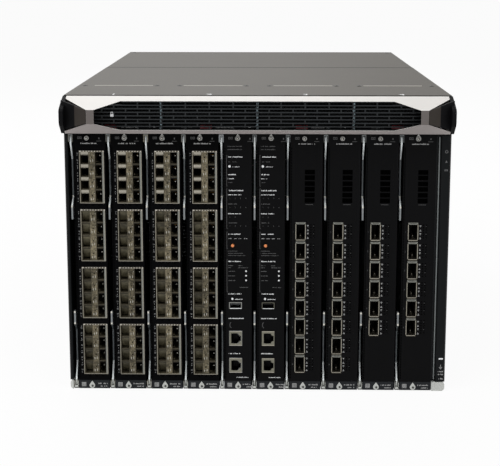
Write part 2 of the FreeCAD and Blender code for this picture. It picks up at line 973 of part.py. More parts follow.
def fan_spots(centre):
    column_pitch = tray_width / fan_columns
    row_pitch = tray_height / fan_rows
    spots = []
    for column in range(fan_columns):
        x = centre + column_pitch * (column - (fan_columns - 1) / 2)
        for row in range(fan_rows):
            spots.append((x, tray_base + row_pitch * (row + 0.5)))
    return spots


def fan_opening(x, z):
    half = fan_window / 2
    return block(x - half, x + half, rear - sheet, rear, z - half, z + half)


def fan_tray(centre):
    y0 = rear - tray_depth
    half = tray_width / 2
    z1 = tray_base + tray_height
    panel_front = rear - sheet
    case = block(centre - half, centre + half, y0, panel_front, tray_base, z1)
    hollow = block(centre - half + tray_wall, centre + half - tray_wall, y0, panel_front,
                   tray_base + tray_wall, z1 - tray_wall)
    panel = block(centre - half, centre + half, panel_front, rear, tray_base, z1)
    pieces = [case.cut(hollow), panel.cut([fan_opening(x, z) for x, z in fan_spots(centre)])]
    bar_y = rear - rotor_inset - rotor_depth - running_gap
    for column in range(fan_columns):
        x = fan_spots(centre)[column * fan_rows][0]
        pieces.append(block(x - motor_bar_width / 2, x + motor_bar_width / 2, bar_y - motor_bar_depth, bar_y,
                            tray_base + tray_wall, z1 - tray_wall))
    middle = tray_middle
    grip = rear + handle_reach
    outline = [
        (rear, middle - handle_length / 2),
        (grip, middle - handle_length / 2),
        (grip, middle + handle_length / 2),
        (rear, middle + handle_length / 2),
        (rear, middle + handle_length / 2 - handle_bar),
        (grip - handle_bar, middle + handle_length / 2 - handle_bar),
        (grip - handle_bar, middle - handle_length / 2 + handle_bar),
        (rear, middle - handle_length / 2 + handle_bar),
    ]
    pieces.append(along_x(outline, centre - handle_width / 2, centre + handle_width / 2))
    for z in (tray_base + tray_screw_inset, z1 - tray_screw_inset):
        pieces.append(along_y(hexagon(captive_radius, centre, z), rear, rear + captive_height))
    plug = block(centre - module_plug_width / 2, centre + module_plug_width / 2, module_rear + mate_gap,
                 y0 + module_plug_height, tray_base + tray_wall, tray_base + tray_wall + module_plug_height)
    return pieces + [plug]


def rotor(x, z):
    """Blades around a hub, in one outline."""
    outline = []
    for blade in range(rotor_blades):
        turn = 2 * math.pi * blade / rotor_blades
        for radius, angle in ((rotor_hub, 0.0), (rotor_radius, 0.25), (rotor_radius, 0.85)):
            outline.append((x + radius * math.cos(turn + angle), z + radius * math.sin(turn + angle)))
    y1 = rear - rotor_inset
    return along_y(outline, y1 - rotor_depth, y1)


def fabric_module(centre):
    """A framed card across the airflow: open rear frame, board on edge, heat sink and plug."""
    half = tray_width / 2
    z0 = tray_base
    z1 = tray_base + tray_height
    plate = block(centre - half, centre + half, module_rear - sheet, module_rear, z0, z1)
    openings = []
    middle = tray_middle
    for low, high in ((z0 + module_bar, middle - module_bar / 2), (middle + module_bar / 2, z1 - module_bar)):
        openings.append(block(centre - half + module_bar / 2, centre + half - module_bar / 2,
                              module_rear - sheet, module_rear, low, high))
    plate = plate.cut(openings)
    board_y = module_front + module_plug_height
    floor = block(centre - half, centre + half, board_y, module_rear - sheet, z0, z0 + sheet)
    board = block(centre - board_thickness / 2, centre + board_thickness / 2, board_y, module_rear - sheet,
                  z0 + sheet, z1)
    half_plug = module_plug_width / 2
    plug = block(centre - half_plug, centre + half_plug, module_front, board_y,
                 middle - module_plug_height, middle + module_plug_height)
    sink_x = centre + board_thickness / 2
    sink = block(sink_x, sink_x + sink_rise, board_y + module_plug_height, module_rear - 2 * module_plug_height,
                 middle - sink_height / 2, middle + sink_height / 2)
    return [plate, floor, board, plug, sink]


def build_chassis():
    save("chassis_shell", chassis_shell())
    save("front_cover", front_cover())
    save("rear_cover", cover(front + cover_seam + seam_gap, rear))
    save("cover_screws", *cover_screws())
    save("bay_shelf", bay_shelf())
    save("card_guides", *card_guides())
    save("midplane", *midplane())
    save("power_backplane", *power_backplane())
    save("rear_frame", rear_frame())
    save("power_inlets", *power_inlets())
    save("front_sill", front_sill())
    save("left_trim", left_trim())
    save("right_trim", right_trim())


def build_front():
    save("bezel_frame", bezel_frame())
    save("bezel_grille", *bezel_grille())
    for number, centre in enumerate(supply_centres(), 1):
        save("power_supply_%d" % number, *power_supply(centre))


def save_levers(card, left):
    save(card + "_lower_lever", lower_lever(left, lower_lever_reach))
    save(card + "_upper_lever", upside_down(lower_lever(left, upper_lever_reach)))


def build_cards():
    places = slots()
    first_manager = small_card_count
    first_large = small_card_count + manager_count
    for number, (left, pitch, face) in enumerate(places[:first_manager], 1):
        card = "line_card_%d" % number
        save(card, *small_port_card(left, pitch, face))
        save_levers(card, left)
    for number, (left, pitch, face) in enumerate(places[first_manager:first_large], 1):
        card = "manager_card_%d" % number
        save(card, *manager_card(left, pitch, face))
        save("mode_button_%d" % number, mode_button(left))
        save_levers(card, left)
    for number, (left, pitch, face) in enumerate(places[first_large:], small_card_count + 1):
        card = "line_card_%d" % number
        ports = many_ports if number <= small_card_count + many_port_cards else few_ports
        save(card, *large_port_card(left, pitch, face, ports))
        save_levers(card, left)


def build_rear():
    for number, centre in enumerate(tray_centres(), 1):
        save("fan_tray_%d" % number, *fan_tray(centre))
        save("fan_rotors_%d" % number, *[rotor(x, z) for x, z in fan_spots(centre)])
        save("fabric_module_%d" % number, *fabric_module(centre))


build_chassis()
build_front()
build_cards()
build_rear()
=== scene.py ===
import math
import random

import bmesh
import bpy
from mathutils import Matrix, Vector


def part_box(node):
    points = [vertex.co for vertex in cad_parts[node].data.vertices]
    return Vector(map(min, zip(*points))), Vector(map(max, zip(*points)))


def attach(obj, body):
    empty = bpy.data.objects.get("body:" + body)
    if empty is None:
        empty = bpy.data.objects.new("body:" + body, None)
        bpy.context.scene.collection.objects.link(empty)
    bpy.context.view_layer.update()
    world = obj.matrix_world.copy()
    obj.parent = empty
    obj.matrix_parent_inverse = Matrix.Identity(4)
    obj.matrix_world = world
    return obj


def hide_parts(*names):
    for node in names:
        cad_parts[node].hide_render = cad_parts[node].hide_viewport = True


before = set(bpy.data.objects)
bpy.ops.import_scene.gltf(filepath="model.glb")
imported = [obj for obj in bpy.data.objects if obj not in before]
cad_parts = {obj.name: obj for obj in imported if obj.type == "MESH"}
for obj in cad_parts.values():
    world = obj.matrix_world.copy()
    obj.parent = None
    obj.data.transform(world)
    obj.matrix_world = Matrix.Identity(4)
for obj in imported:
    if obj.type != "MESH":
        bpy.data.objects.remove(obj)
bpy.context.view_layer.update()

mm = 0.001
scene = bpy.context.scene


def rgb(red, green, blue):
    def linear(value):
        value /= 255
        return value / 12.92 if value <= 0.04045 else ((value + 0.055) / 1.055) ** 2.4
    return (linear(red), linear(green), linear(blue), 1.0)


# Wires and trees, for materials and for geometry

class Wire:
    def __init__(self, tree, socket):
        self.tree = tree
        self.socket = socket

    def join(self, operation, first, second):
        return self.tree.add("ShaderNodeMath", {"operation": operation}, {0: first, 1: second})

    def __add__(self, other):
        return self.join("ADD", self, other)

    def __radd__(self, other):
        return self.join("ADD", other, self)

    def __sub__(self, other):
        return self.join("SUBTRACT", self, other)

    def __rsub__(self, other):
        return self.join("SUBTRACT", other, self)

    def __mul__(self, other):
        return self.join("MULTIPLY", self, other)

    def __rmul__(self, other):
        return self.join("MULTIPLY", other, self)

    def __mod__(self, other):
        return self.join("FLOORED_MODULO", self, other)

    def __gt__(self, other):
        return self.join("GREATER_THAN", self, other)

    def __lt__(self, other):
        return self.join("LESS_THAN", self, other)


class NodeTree:
    def add(self, kind, settings, values, output=0):
        node = self.tree.nodes.new(kind)
        for name, value in settings.items():
            setattr(node, name, value)
        for name, value in values.items():
            socket = node.inputs[name]
            if isinstance(value, Wire):
                self.tree.links.new(value.socket, socket)
            elif isinstance(value, list):
                for wire in value:
                    self.tree.links.new(wire.socket, socket)
            else:
                socket.default_value = value
        return Wire(self, node.outputs[output] if node.outputs else None)

    def pick(self, wire, output):
        return Wire(self, wire.socket.node.outputs[output])


class Finish(NodeTree):
    def __init__(self, name):
        self.material = bpy.data.materials.new(name)
        self.material.use_nodes = True
        self.tree = self.material.node_tree
        self.tree.nodes.clear()
        self.place = self.add("ShaderNodeTexCoord", {}, {}, "Object")

    def spread(self, size, stretch=(1, 1, 1)):    # one pattern unit is size mm, longer where stretch is under 1
        scale = tuple(part / (size * mm) for part in stretch)
        return self.add("ShaderNodeMapping", {}, {"Vector": self.place, "Scale": scale})

    def noise(self, size, detail=2.0, stretch=(1, 1, 1)):
        place = self.spread(size, stretch)
        return self.add("ShaderNodeTexNoise", {}, {"Vector": place, "Scale": 1.0, "Detail": detail})

    def tone(self, factor, low, high):
        return self.add("ShaderNodeMix", {"data_type": "RGBA"}, {0: factor, 6: low, 7: high}, 2)

    def level(self, factor, low, high):
        return factor * (high - low) + low

    def bump(self, height, strength, depth):
        return self.add("ShaderNodeBump", {}, {"Strength": strength, "Distance": depth * mm, "Height": height})

    def surface(self, values):
        shader = self.add("ShaderNodeBsdfPrincipled", {}, values)
        return self.done(shader)

    def done(self, shader):
        self.add("ShaderNodeOutputMaterial", {}, {"Surface": shader})
        return self.material


class Recipe(NodeTree):
    def __init__(self, name, inputs):
        self.tree = bpy.data.node_groups.new(name, "GeometryNodeTree")
        face = self.tree.interface
        face.new_socket("Geometry", in_out="INPUT", socket_type="NodeSocketGeometry")
        for label, kind in inputs.items():
            face.new_socket(label, in_out="INPUT", socket_type="NodeSocket" + kind)
        face.new_socket("Geometry", in_out="OUTPUT", socket_type="NodeSocketGeometry")
        self.entry = self.tree.nodes.new("NodeGroupInput")

    def given(self, label):
        return Wire(self, self.entry.outputs[label])

    def vector(self, x=0.0, y=0.0, z=0.0):
        return self.add("ShaderNodeCombineXYZ", {}, {0: x, 1: y, 2: z})

    def row(self, count, step, start=(0, 0, 0)):
        return self.add("GeometryNodeMeshLine", {}, {"Count": count, "Start Location": start, "Offset": step})

    def moved(self, geometry, shift=(0, 0, 0), turn=(0, 0, 0)):
        return self.add("GeometryNodeTransform", {}, {"Geometry": geometry, "Translation": shift, "Rotation": turn})

    def onPoints(self, points, shape, values=None):
        return self.add("GeometryNodeInstanceOnPoints", {}, {"Points": points, "Instance": shape, **(values or {})})

    def real(self, geometry):
        return self.add("GeometryNodeRealizeInstances", {}, {"Geometry": geometry})

    def joined(self, *parts):
        return self.add("GeometryNodeJoinGeometry", {}, {"Geometry": list(parts)})

    def finish(self, geometry):
        painted = self.add("GeometryNodeSetMaterial", {}, {"Geometry": self.real(geometry),
                                                          "Material": self.given("Finish")})
        self.add("NodeGroupOutput", {}, {"Geometry": painted})
        return self.tree


def grow(recipe, spots, values):
    mesh = bpy.data.meshes.new("spots")
    mesh.from_pydata([[part * mm for part in spot] for spot in spots], [], [])
    holder = bpy.data.objects.new("holder", mesh)
    scene.collection.objects.link(holder)
    modifier = holder.modifiers.new("grow", "NODES")
    modifier.node_group = recipe
    for item in recipe.interface.items_tree:
        if item.in_out == "INPUT" and item.name in values:
            modifier[item.identifier] = values[item.name]
    holder.update_tag()
    depsgraph = bpy.context.evaluated_depsgraph_get()
    depsgraph.update()
    grown = bpy.data.meshes.new_from_object(holder.evaluated_get(depsgraph))
    holder.modifiers.remove(modifier)
    bpy.data.objects.remove(holder)
    return grown


# Finishes

# Tones, range of roughness, metal, gloss, grain in mm and its stretch, mottle, depth of the grain in mm
plainFinishes = {
    "lidPaint": {"dark": (55, 51, 43), "light": (67, 62, 53), "rough": (0.5, 0.62), "grain": 0.9, "gloss": 0.3},
    # Next two: near black, painted shade for the lid's front edge and the seam; light, painted highlight for the ribs'
    # front faces
    "lidEdgeShade": {"dark": (12, 12, 12), "light": (22, 22, 21), "rough": (0.5, 0.6), "grain": 0.9, "gloss": 0.1},
    "ribHighlight": {"dark": (150, 146, 138), "light": (176, 172, 164), "rough": (0.4, 0.5), "grain": 0.9},
    "casePaint": {"dark": (30, 30, 31), "light": (40, 39, 39), "rough": (0.45, 0.6), "grain": 0.9, "gloss": 0.3},
    "facePaint": {"dark": (8, 8, 9), "light": (14, 14, 15), "rough": (0.42, 0.55), "grain": 0.7, "gloss": 0.05},
    "faceBlack": {"dark": (2, 2, 3), "light": (7, 7, 8), "rough": (0.42, 0.55), "grain": 0.7, "gloss": 0.03},
    "trimPaint": {"dark": (14, 16, 17), "light": (23, 25, 26), "rough": (0.4, 0.55), "grain": 0.7, "gloss": 0.08},
    "edgeSteel": {"dark": (126, 132, 132), "light": (164, 170, 170), "rough": (0.4, 0.5), "grain": 0.7,
                  "stretch": (1, 1, 0.05)},
    "footPaint": {"dark": (26, 28, 30), "light": (38, 40, 43), "rough": (0.4, 0.5), "grain": 0.7, "gloss": 0.12},
    # Bezel silver in lit and shaded copies: the first is painted light for faces that look up, the other three are
    # painted shade for faces that look down, to the front and to the side
    "bezelSilverLit": {"dark": (206, 203, 199), "light": (224, 221, 217), "rough": (0.3, 0.42), "metal": 0.15,
                    "grain": 0.5, "depth": 0.01},
    "bezelShade": {"dark": (152, 145, 143), "light": (172, 165, 163), "rough": (0.36, 0.5), "metal": 0.1,
                   "grain": 0.5, "depth": 0.01, "gloss": 0.2},
    "bezelWaistShade": {"dark": (96, 90, 88), "light": (114, 108, 105), "rough": (0.36, 0.5), "metal": 0.1, "grain": 0.5,
                   "depth": 0.01, "gloss": 0.2},
    "bezelFacetShade": {"dark": (44, 39, 35), "light": (58, 52, 47), "rough": (0.36, 0.5), "metal": 0.1, "grain": 0.5,
                   "gloss": 0.2},
    "gripPlastic": {"dark": (8, 8, 9), "light": (15, 15, 17), "rough": (0.5, 0.65), "grain": 0.6, "depth": 0.05,
                    "gloss": 0.08},
    "grillePlastic": {"dark": (18, 20, 22), "light": (40, 44, 47), "rough": (0.35, 0.5), "grain": 0.6, "gloss": 0.3,
                      "stretch": (0.08, 1, 1)},
    "supplyFace": {"dark": (8, 9, 9), "light": (16, 17, 18), "rough": (0.45, 0.6), "grain": 0.8, "gloss": 0.1},
    # light zinc for the uprights' front edges: painted highlight
    "seamZincHighlight": {"dark": (140, 166, 176), "light": (190, 208, 214), "rough": (0.35, 0.5), "metal": 0.2, "grain": 0.8},
    # cast silver of the blocks, washers and sill, also put on the lower levers' heels as painted light
    "castSilverAndHeelLight": {"dark": (184, 186, 182), "light": (216, 218, 213), "rough": (0.38, 0.6), "metal": 0.15,
                   "grain": 0.8, "depth": 0.03, "gloss": 0.3},
    # a darker copy of the cast silver for the upper corner blocks: painted shade under the bezel
    "headSilverShade": {"dark": (112, 117, 118), "light": (146, 151, 152), "rough": (0.4, 0.6), "metal": 0.15, "grain": 0.8,
                   "gloss": 0.2},
    # Lever steel in lit and shaded copies: a near-white painted highlight, a dim painted shade for the middle in its
    # channel, a lighter tone for the finger
    "leverRoot": {"dark": (226, 236, 237), "light": (250, 252, 252), "rough": (0.22, 0.4), "metal": 0.1,
                  "grain": 0.6, "stretch": (1, 1, 0.06)},
    "leverSteel": {"dark": (84, 90, 92), "light": (122, 128, 130), "rough": (0.3, 0.45), "metal": 0.3,
                   "grain": 0.6, "stretch": (1, 1, 0.06), "gloss": 0.3},
    "leverFinger": {"dark": (112, 116, 118), "light": (150, 154, 156), "rough": (0.3, 0.45), "metal": 0.3,
                    "grain": 0.6, "gloss": 0.3},
    "screwSteel": {"dark": (130, 130, 128), "light": (180, 179, 175), "rough": (0.2, 0.36), "metal": 0.6, "grain": 0.4},
    "blackScrew": {"dark": (20, 20, 21), "light": (44, 43, 42), "rough": (0.3, 0.45), "metal": 0.3, "grain": 0.4},
    "cageNickel": {"dark": (42, 38, 29), "light": (98, 92, 76), "rough": (0.3, 0.5), "metal": 0.4, "grain": 2.4,
                   "mottle": 2.0, "gloss": 0.3},
    "wallNickel": {"dark": (110, 111, 104), "light": (146, 147, 140), "rough": (0.3, 0.45), "metal": 0.3, "grain": 0.9,
                   "gloss": 0.3},
    "cageDark": {"dark": (30, 28, 24), "light": (56, 52, 44), "rough": (0.35, 0.5), "metal": 0.3, "grain": 0.7,
                 "gloss": 0.2},
    "rimNickel": {"dark": (176, 170, 158), "light": (216, 210, 200), "rough": (0.28, 0.4), "metal": 0.4, "grain": 0.5,
                  "gloss": 0.3},
    "tabNickel": {"dark": (136, 131, 117), "light": (184, 179, 166), "rough": (0.28, 0.4), "metal": 0.4, "grain": 0.9,
                  "gloss": 0.3},
    "flapNickel": {"dark": (32, 29, 21), "light": (110, 104, 82), "rough": (0.3, 0.45), "metal": 0.3, "grain": 5.0,
                   "mottle": 2.5, "gloss": 0.3},
    "stripNickel": {"dark": (22, 19, 13), "light": (142, 132, 108), "rough": (0.3, 0.45), "metal": 0.4, "grain": 1.9,
                    "mottle": 3.5, "depth": 0.15, "gloss": 0.3},
    "jackShell": {"dark": (104, 102, 90), "light": (136, 134, 120), "rough": (0.3, 0.45), "metal": 0.4, "grain": 0.5,
                  "gloss": 0.3},
    # bright metal for real pins, also used for painted glints
    "brightPinAndGlint": {"dark": (196, 192, 182), "light": (236, 232, 222), "rough": (0.2, 0.3), "metal": 0.3, "grain": 0.3},
    "contactGold": {"dark": (150, 110, 48), "light": (198, 156, 84), "rough": (0.25, 0.35), "metal": 0.9, "grain": 0.4},
    "plugPlastic": {"dark": (12, 12, 13), "light": (22, 22, 23), "rough": (0.45, 0.6), "grain": 0.5, "depth": 0.03,
                    "gloss": 0.1},
    "sinkAluminium": {"dark": (150, 152, 154), "light": (188, 190, 192), "rough": (0.3, 0.42), "metal": 0.9,
                      "grain": 0.5, "stretch": (1, 0.05, 1)},
    "tabPlastic": {"dark": (96, 14, 22), "light": (134, 26, 34), "rough": (0.35, 0.5), "grain": 0.5},
    "guidePlastic": {"dark": (34, 34, 35), "light": (48, 48, 49), "rough": (0.45, 0.6), "grain": 0.6},
    "fanPlastic": {"dark": (20, 20, 22), "light": (34, 34, 36), "rough": (0.4, 0.55), "grain": 0.5},
    "buttonLit": {"dark": (214, 118, 62), "light": (246, 158, 98), "rough": (0.3, 0.4), "grain": 0.5},
    "printWhite": {"dark": (150, 150, 150), "light": (186, 186, 185), "rough": (0.5, 0.6), "grain": 0.4},
    "printFaint": {"dark": (74, 74, 75), "light": (102, 102, 102), "rough": (0.5, 0.6), "grain": 0.4},
    # white for lamps and print, also for one painted highlight
    "lampWhite": {"dark": (222, 224, 226), "light": (248, 249, 250), "rough": (0.25, 0.35), "grain": 0.4},
    # flat black for holes, slots and what lies behind them: painted shade
    "holeShade": {"dark": (2, 2, 2), "light": (6, 6, 6), "rough": (0.8, 0.9), "grain": 0.6, "gloss": 0.0},
}
finishes = {}


def plainFinish(name, look):
    finish = Finish(name)
    blotch = finish.noise(45, 3.0)
    grain = finish.noise(look["grain"], 2.0, look.get("stretch", (1, 1, 1)))
    mixed = (blotch * 0.5 + grain * 0.5 - 0.5) * look.get("mottle", 1.0) + 0.5
    low, high = look["rough"]
    return finish.surface({
        "Base Color": finish.tone(mixed, rgb(*look["dark"]), rgb(*look["light"])),
        "Roughness": finish.level(grain, low, high),
        "Metallic": look.get("metal", 0.0),
        "Specular IOR Level": look.get("gloss", 0.5),
        "Normal": finish.bump(grain, 0.35, look.get("depth", 0.02)),
    })


def zincFinish(sizes={"spangle": 4.2, "dark": (146, 149, 152), "light": (170, 173, 176)}):
    finish = Finish("zincSteel")
    place = finish.spread(sizes["spangle"])
    cells = finish.add("ShaderNodeTexVoronoi", {}, {"Vector": place, "Scale": 1.0}, "Color")
    shade = finish.add("ShaderNodeSeparateColor", {}, {"Color": cells})
    grain = finish.noise(0.8)
    return finish.surface({
        "Base Color": finish.tone(shade * 0.7 + grain * 0.3, rgb(*sizes["dark"]), rgb(*sizes["light"])),
        "Roughness": finish.level(shade, 0.3, 0.5),
        "Metallic": 0.85,
        "Normal": finish.bump(grain, 0.3, 0.01),
    })


def boardFinish(sizes={"track": 3.2, "pad": 5.5, "mask": (18, 62, 40), "copper": (34, 92, 58),
                       "solder": (190, 190, 184)}):
    finish = Finish("boardGreen")
    tracks = finish.add("ShaderNodeTexVoronoi", {"feature": "DISTANCE_TO_EDGE"}, {
        "Vector": finish.spread(sizes["track"] * 3), "Scale": 1.0, "Randomness": 0.35})
    dots = finish.add("ShaderNodeTexVoronoi", {}, {"Vector": finish.spread(sizes["pad"]), "Scale": 1.0})
    track = tracks < 0.05
    pad = dots < 0.16
    mask = finish.tone(track, rgb(*sizes["mask"]), rgb(*sizes["copper"]))
    return finish.surface({
        "Base Color": finish.tone(pad, mask, rgb(*sizes["solder"])),
        "Roughness": finish.level(finish.noise(2.0), 0.3, 0.45),
        "Metallic": pad * 0.8,
        "Normal": finish.bump(track + pad, 0.3, 0.03),
    })


for name, look in plainFinishes.items():
    finishes[name] = plainFinish(name, look)
finishes["zincSteel"] = zincFinish()
finishes["boardGreen"] = boardFinish()
print("finishes:", len(finishes))


# A piece in the making, in millimetres

edgeWork = {"weld": 0.002, "flat": 1, "sharp": 25, "segments": 2}     # mm, degrees, degrees


class Stock:
    def __init__(self, name):
        self.name = name
        self.points = []
        self.faces = []
        self.paints = []
        self.rounds = []
        self.used = []

    def paint(self, finish):
        if finish not in self.used:
            self.used.append(finish)
        return self.used.index(finish)

    def add(self, points, faces, finish, soft=False):
        start = len(self.points)
        self.points += [tuple(point) for point in points]
        self.faces += [[start + corner for corner in face] for face in faces]
        self.paints += [self.paint(finish)] * len(faces)
        self.rounds += [soft] * len(faces)

    def box(self, low, high, finish):
        (x0, y0, z0), (x1, y1, z1) = low, high
        points = [(x, y, z) for x in (x0, x1) for y in (y0, y1) for z in (z0, z1)]
        faces = [(0, 1, 3, 2), (4, 6, 7, 5), (0, 4, 5, 1), (2, 3, 7, 6), (0, 2, 6, 4), (1, 5, 7, 3)]
        self.add(points, faces, finish)

    def slab(self, outline, y0, y1, finish):     # a flat shape in x and z, anticlockwise seen from the front
        count = len(outline)
        points = [(x, y0, z) for x, z in outline] + [(x, y1, z) for x, z in outline]
        faces = [list(range(count)), list(range(2 * count - 1, count - 1, -1))]
        faces += [(corner, count + corner, count + (corner + 1) % count, (corner + 1) % count)
                  for corner in range(count)]
        self.add(points, faces, finish)

    def disc(self, x, z, radius, y0, y1, finish, sides=12):
        turns = [2 * math.pi * place / sides for place in range(sides)]
        self.slab([(x + radius * math.cos(turn), z + radius * math.sin(turn)) for turn in turns], y0, y1, finish)

    def mesh(self, mesh, finish, shift=(0, 0, 0), soft=True):
        points = [[vertex.co[axis] / mm + shift[axis] for axis in range(3)] for vertex in mesh.vertices]
        self.add(points, [list(face.vertices) for face in mesh.polygons], finish, soft)

    def solids(self, node, choose):
        made = bmesh.new()
        made.from_mesh(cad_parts[node].data)
        bmesh.ops.scale(made, vec=(1 / mm,) * 3, verts=made.verts)
        bmesh.ops.remove_doubles(made, verts=made.verts, dist=edgeWork["weld"])
        bmesh.ops.dissolve_limit(made, angle_limit=math.radians(edgeWork["flat"]), verts=made.verts, edges=made.edges)
        edges = {}
        dropped = []
        for part in looseParts(made):
            solid = list({vertex: None for face in part for vertex in face.verts})
            low = [min(vertex.co[axis] for vertex in solid) for axis in range(3)]
            high = [max(vertex.co[axis] for vertex in solid) for axis in range(3)]
            choice = choose(low, high)
            if choice is None:
                dropped += solid
                continue
            finish, radius = choice
            for face in part:
                face.material_index = self.paint(finish)
            if radius:
                sharp = {edge: None for face in part for edge in face.edges
                         if len(edge.link_faces) == 2 and edge.calc_face_angle() > math.radians(edgeWork["sharp"])}
                edges.setdefault(radius, []).extend(sharp)
        for radius, sharp in edges.items():
            bmesh.ops.bevel(made, geom=sharp, offset=radius, segments=edgeWork["segments"], profile=0.5,
                            affect="EDGES", clamp_overlap=True)
        bmesh.ops.delete(made, geom=dropped, context="VERTS")
        made.verts.index_update()
        start = len(self.points)
        self.points += [tuple(vertex.co) for vertex in made.verts]
        for face in made.faces:
            self.faces.append([start + vertex.index for vertex in face.verts])
            self.paints.append(face.material_index)
            self.rounds.append(False)
        made.free()

    def repaint(self, rule):                              # rule: a face's centre and normal to a finish, or None
        for place, face in enumerate(self.faces):
            corners = [Vector(self.points[corner]) for corner in face]
            normal = Vector((0, 0, 0))
            for first, second in zip(corners, corners[1:] + corners[:1]):
                normal += first.cross(second)
            finish = rule(sum(corners, Vector((0, 0, 0))) / len(corners), normal.normalized())
            if finish:
                self.paints[place] = self.paint(finish)

    def done(self, body, slot, nodes=()):
        mesh = bpy.data.meshes.new(self.name)
        mesh.from_pydata([[part * mm for part in point] for point in self.points], [], self.faces)
        for finish in self.used:
            mesh.materials.append(finishes[finish])
        mesh.polygons.foreach_set("material_index", self.paints)
        mesh.polygons.foreach_set("use_smooth", self.rounds)
        mesh.update()
        piece = bpy.data.objects.new(self.name, mesh)
        scene.collection.objects.link(piece)
        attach(piece, body)
        if nodes:
            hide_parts(*nodes)
        return piece


def looseParts(made):                                     # groups of faces joined by edges, each cut free of the others
    made.faces.index_update()
    seen = set()
    parts = []
    for first in made.faces:
        if first.index in seen:
            continue
        seen.add(first.index)
        part = [first]
        for face in part:
            for edge in face.edges:
                for other in edge.link_faces:
                    if other.index not in seen:
                        seen.add(other.index)
                        part.append(other)
        parts.append(part)
    used = {}
    for place, part in enumerate(parts):
        for face in part:
            for vertex in face.verts:
                used.setdefault(vertex, set()).add(place)
    shared = {place for places in used.values() if len(places) > 1 for place in places}
    free = []
    for place, part in enumerate(parts):
        if place in shared:
            cut = bmesh.ops.split(made, geom=part)["geom"]
            part = [item for item in cut if isinstance(item, bmesh.types.BMFace)]
        free.append(part)
    return free


def boxOf(node):
    low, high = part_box(node)
    return [part / mm for part in low], [part / mm for part in high]


def solidBoxes(node, fits):                                # the corners of those of a node's solids that fit
    found = []

    def look(low, high):
        if fits(low, high):
            found.append((low, high))
    Stock("probe").solids(node, look)
    return found


def centres(node):                                         # the middle of each solid, in order
    return sorted([(low[axis] + high[axis]) / 2 for axis in range(3)]
                  for low, high in solidBoxes(node, lambda low, high: True))


def dress(node, choose, body, slot, *extras):
    stock = Stock(node + "_dressed")
    stock.solids(node, choose)
    for extra in extras:
        extra(stock)
    return stock.done(body, slot, [node])


def allIn(finish, radius=0.0):
    return lambda low, high: (finish, radius)


# Recipes for what repeats

def rowsRecipe():          # one shape in columns, rows and groups of rows
    recipe = Recipe("rowsOfPieces", {"Piece": "Object", "Columns": "Int", "Across": "Float", "Rows": "Int",
                                     "Up": "Float", "Groups": "Int", "Rise": "Float", "Finish": "Material"})
    shape = recipe.add("GeometryNodeObjectInfo", {}, {"Object": recipe.given("Piece")}, "Geometry")
    columns = recipe.row(recipe.given("Columns"), recipe.vector(x=recipe.given("Across")))
    rows = recipe.row(recipe.given("Rows"), recipe.vector(z=recipe.given("Up")))
    groups = recipe.row(recipe.given("Groups"), recipe.vector(z=recipe.given("Rise")))
    spots = recipe.real(recipe.onPoints(groups, recipe.real(recipe.onPoints(rows, columns))))
    every = recipe.real(recipe.onPoints(Wire(recipe, recipe.entry.outputs[0]), spots))
    return recipe.finish(recipe.onPoints(every, shape))


def screwRecipe():         # a rounded head with a round recess, one at each spot
    recipe = Recipe("screwHead", {"Radius": "Float", "Height": "Float", "Recess": "Float", "Turn": "Vector",
                                  "Finish": "Material"})
    radius, height = recipe.given("Radius"), recipe.given("Height")
    blank = recipe.add("GeometryNodeMeshCylinder", {}, {"Vertices": 16, "Radius": radius, "Depth": height * 0.7})
    head, top = blank, recipe.pick(blank, "Top")
    for rise, scale in ((height * 0.3, 0.84), (0.0, recipe.given("Recess")), (height * -0.7, 0.96)):
        raised = recipe.add("GeometryNodeExtrudeMesh", {}, {"Mesh": head, "Selection": top, "Offset Scale": rise})
        top = recipe.pick(raised, "Top")
        head = recipe.add("GeometryNodeScaleElements", {}, {"Geometry": raised, "Selection": top, "Scale": scale})
    seated = recipe.moved(head, recipe.vector(z=height * 0.35))
    spots = Wire(recipe, recipe.entry.outputs[0])
    return recipe.finish(recipe.onPoints(spots, seated, {"Rotation": recipe.given("Turn")}))


def guardRecipe():         # rings on four spokes round a hub plate
    recipe = Recipe("fanGuard", {"First": "Float", "Step": "Float", "Rings": "Int", "Wire": "Float", "Hub": "Float",
                                 "Finish": "Material"})
    first, step, rings, wire = [recipe.given(label) for label in ("First", "Step", "Rings", "Wire")]
    index = recipe.add("GeometryNodeInputIndex", {}, {})
    circle = recipe.add("GeometryNodeCurvePrimitiveCircle", {}, {"Resolution": 28, "Radius": 1.0})
    size = index * step + first
    loops = recipe.onPoints(recipe.row(rings, (0, 0, 0)), circle, {"Scale": recipe.vector(size, size, size)})
    profile = recipe.add("GeometryNodeCurvePrimitiveCircle", {}, {"Resolution": 5, "Radius": wire * 0.5})
    tubes = recipe.add("GeometryNodeCurveToMesh", {}, {"Curve": recipe.real(loops), "Profile Curve": profile})
    reach = first + step * (rings + -1)
    spoke = recipe.add("GeometryNodeMeshCube", {}, {"Size": recipe.vector(reach, wire, wire)})
    spoke = recipe.moved(spoke, recipe.vector(reach * 0.5, 0.0, wire * -0.9))
    angle = index * (math.pi / 2) + math.pi / 4
    spokes = recipe.onPoints(recipe.row(4, (0, 0, 0)), spoke, {"Rotation": recipe.vector(z=angle)})
    hub = recipe.add("GeometryNodeMeshCylinder", {}, {"Vertices": 24, "Radius": recipe.given("Hub"), "Depth": wire})
    guard = recipe.moved(recipe.real(recipe.joined(tubes, spokes, hub)), (0, 0, 0), (math.pi / 2, 0, 0))
    return recipe.finish(recipe.onPoints(Wire(recipe, recipe.entry.outputs[0]), guard))


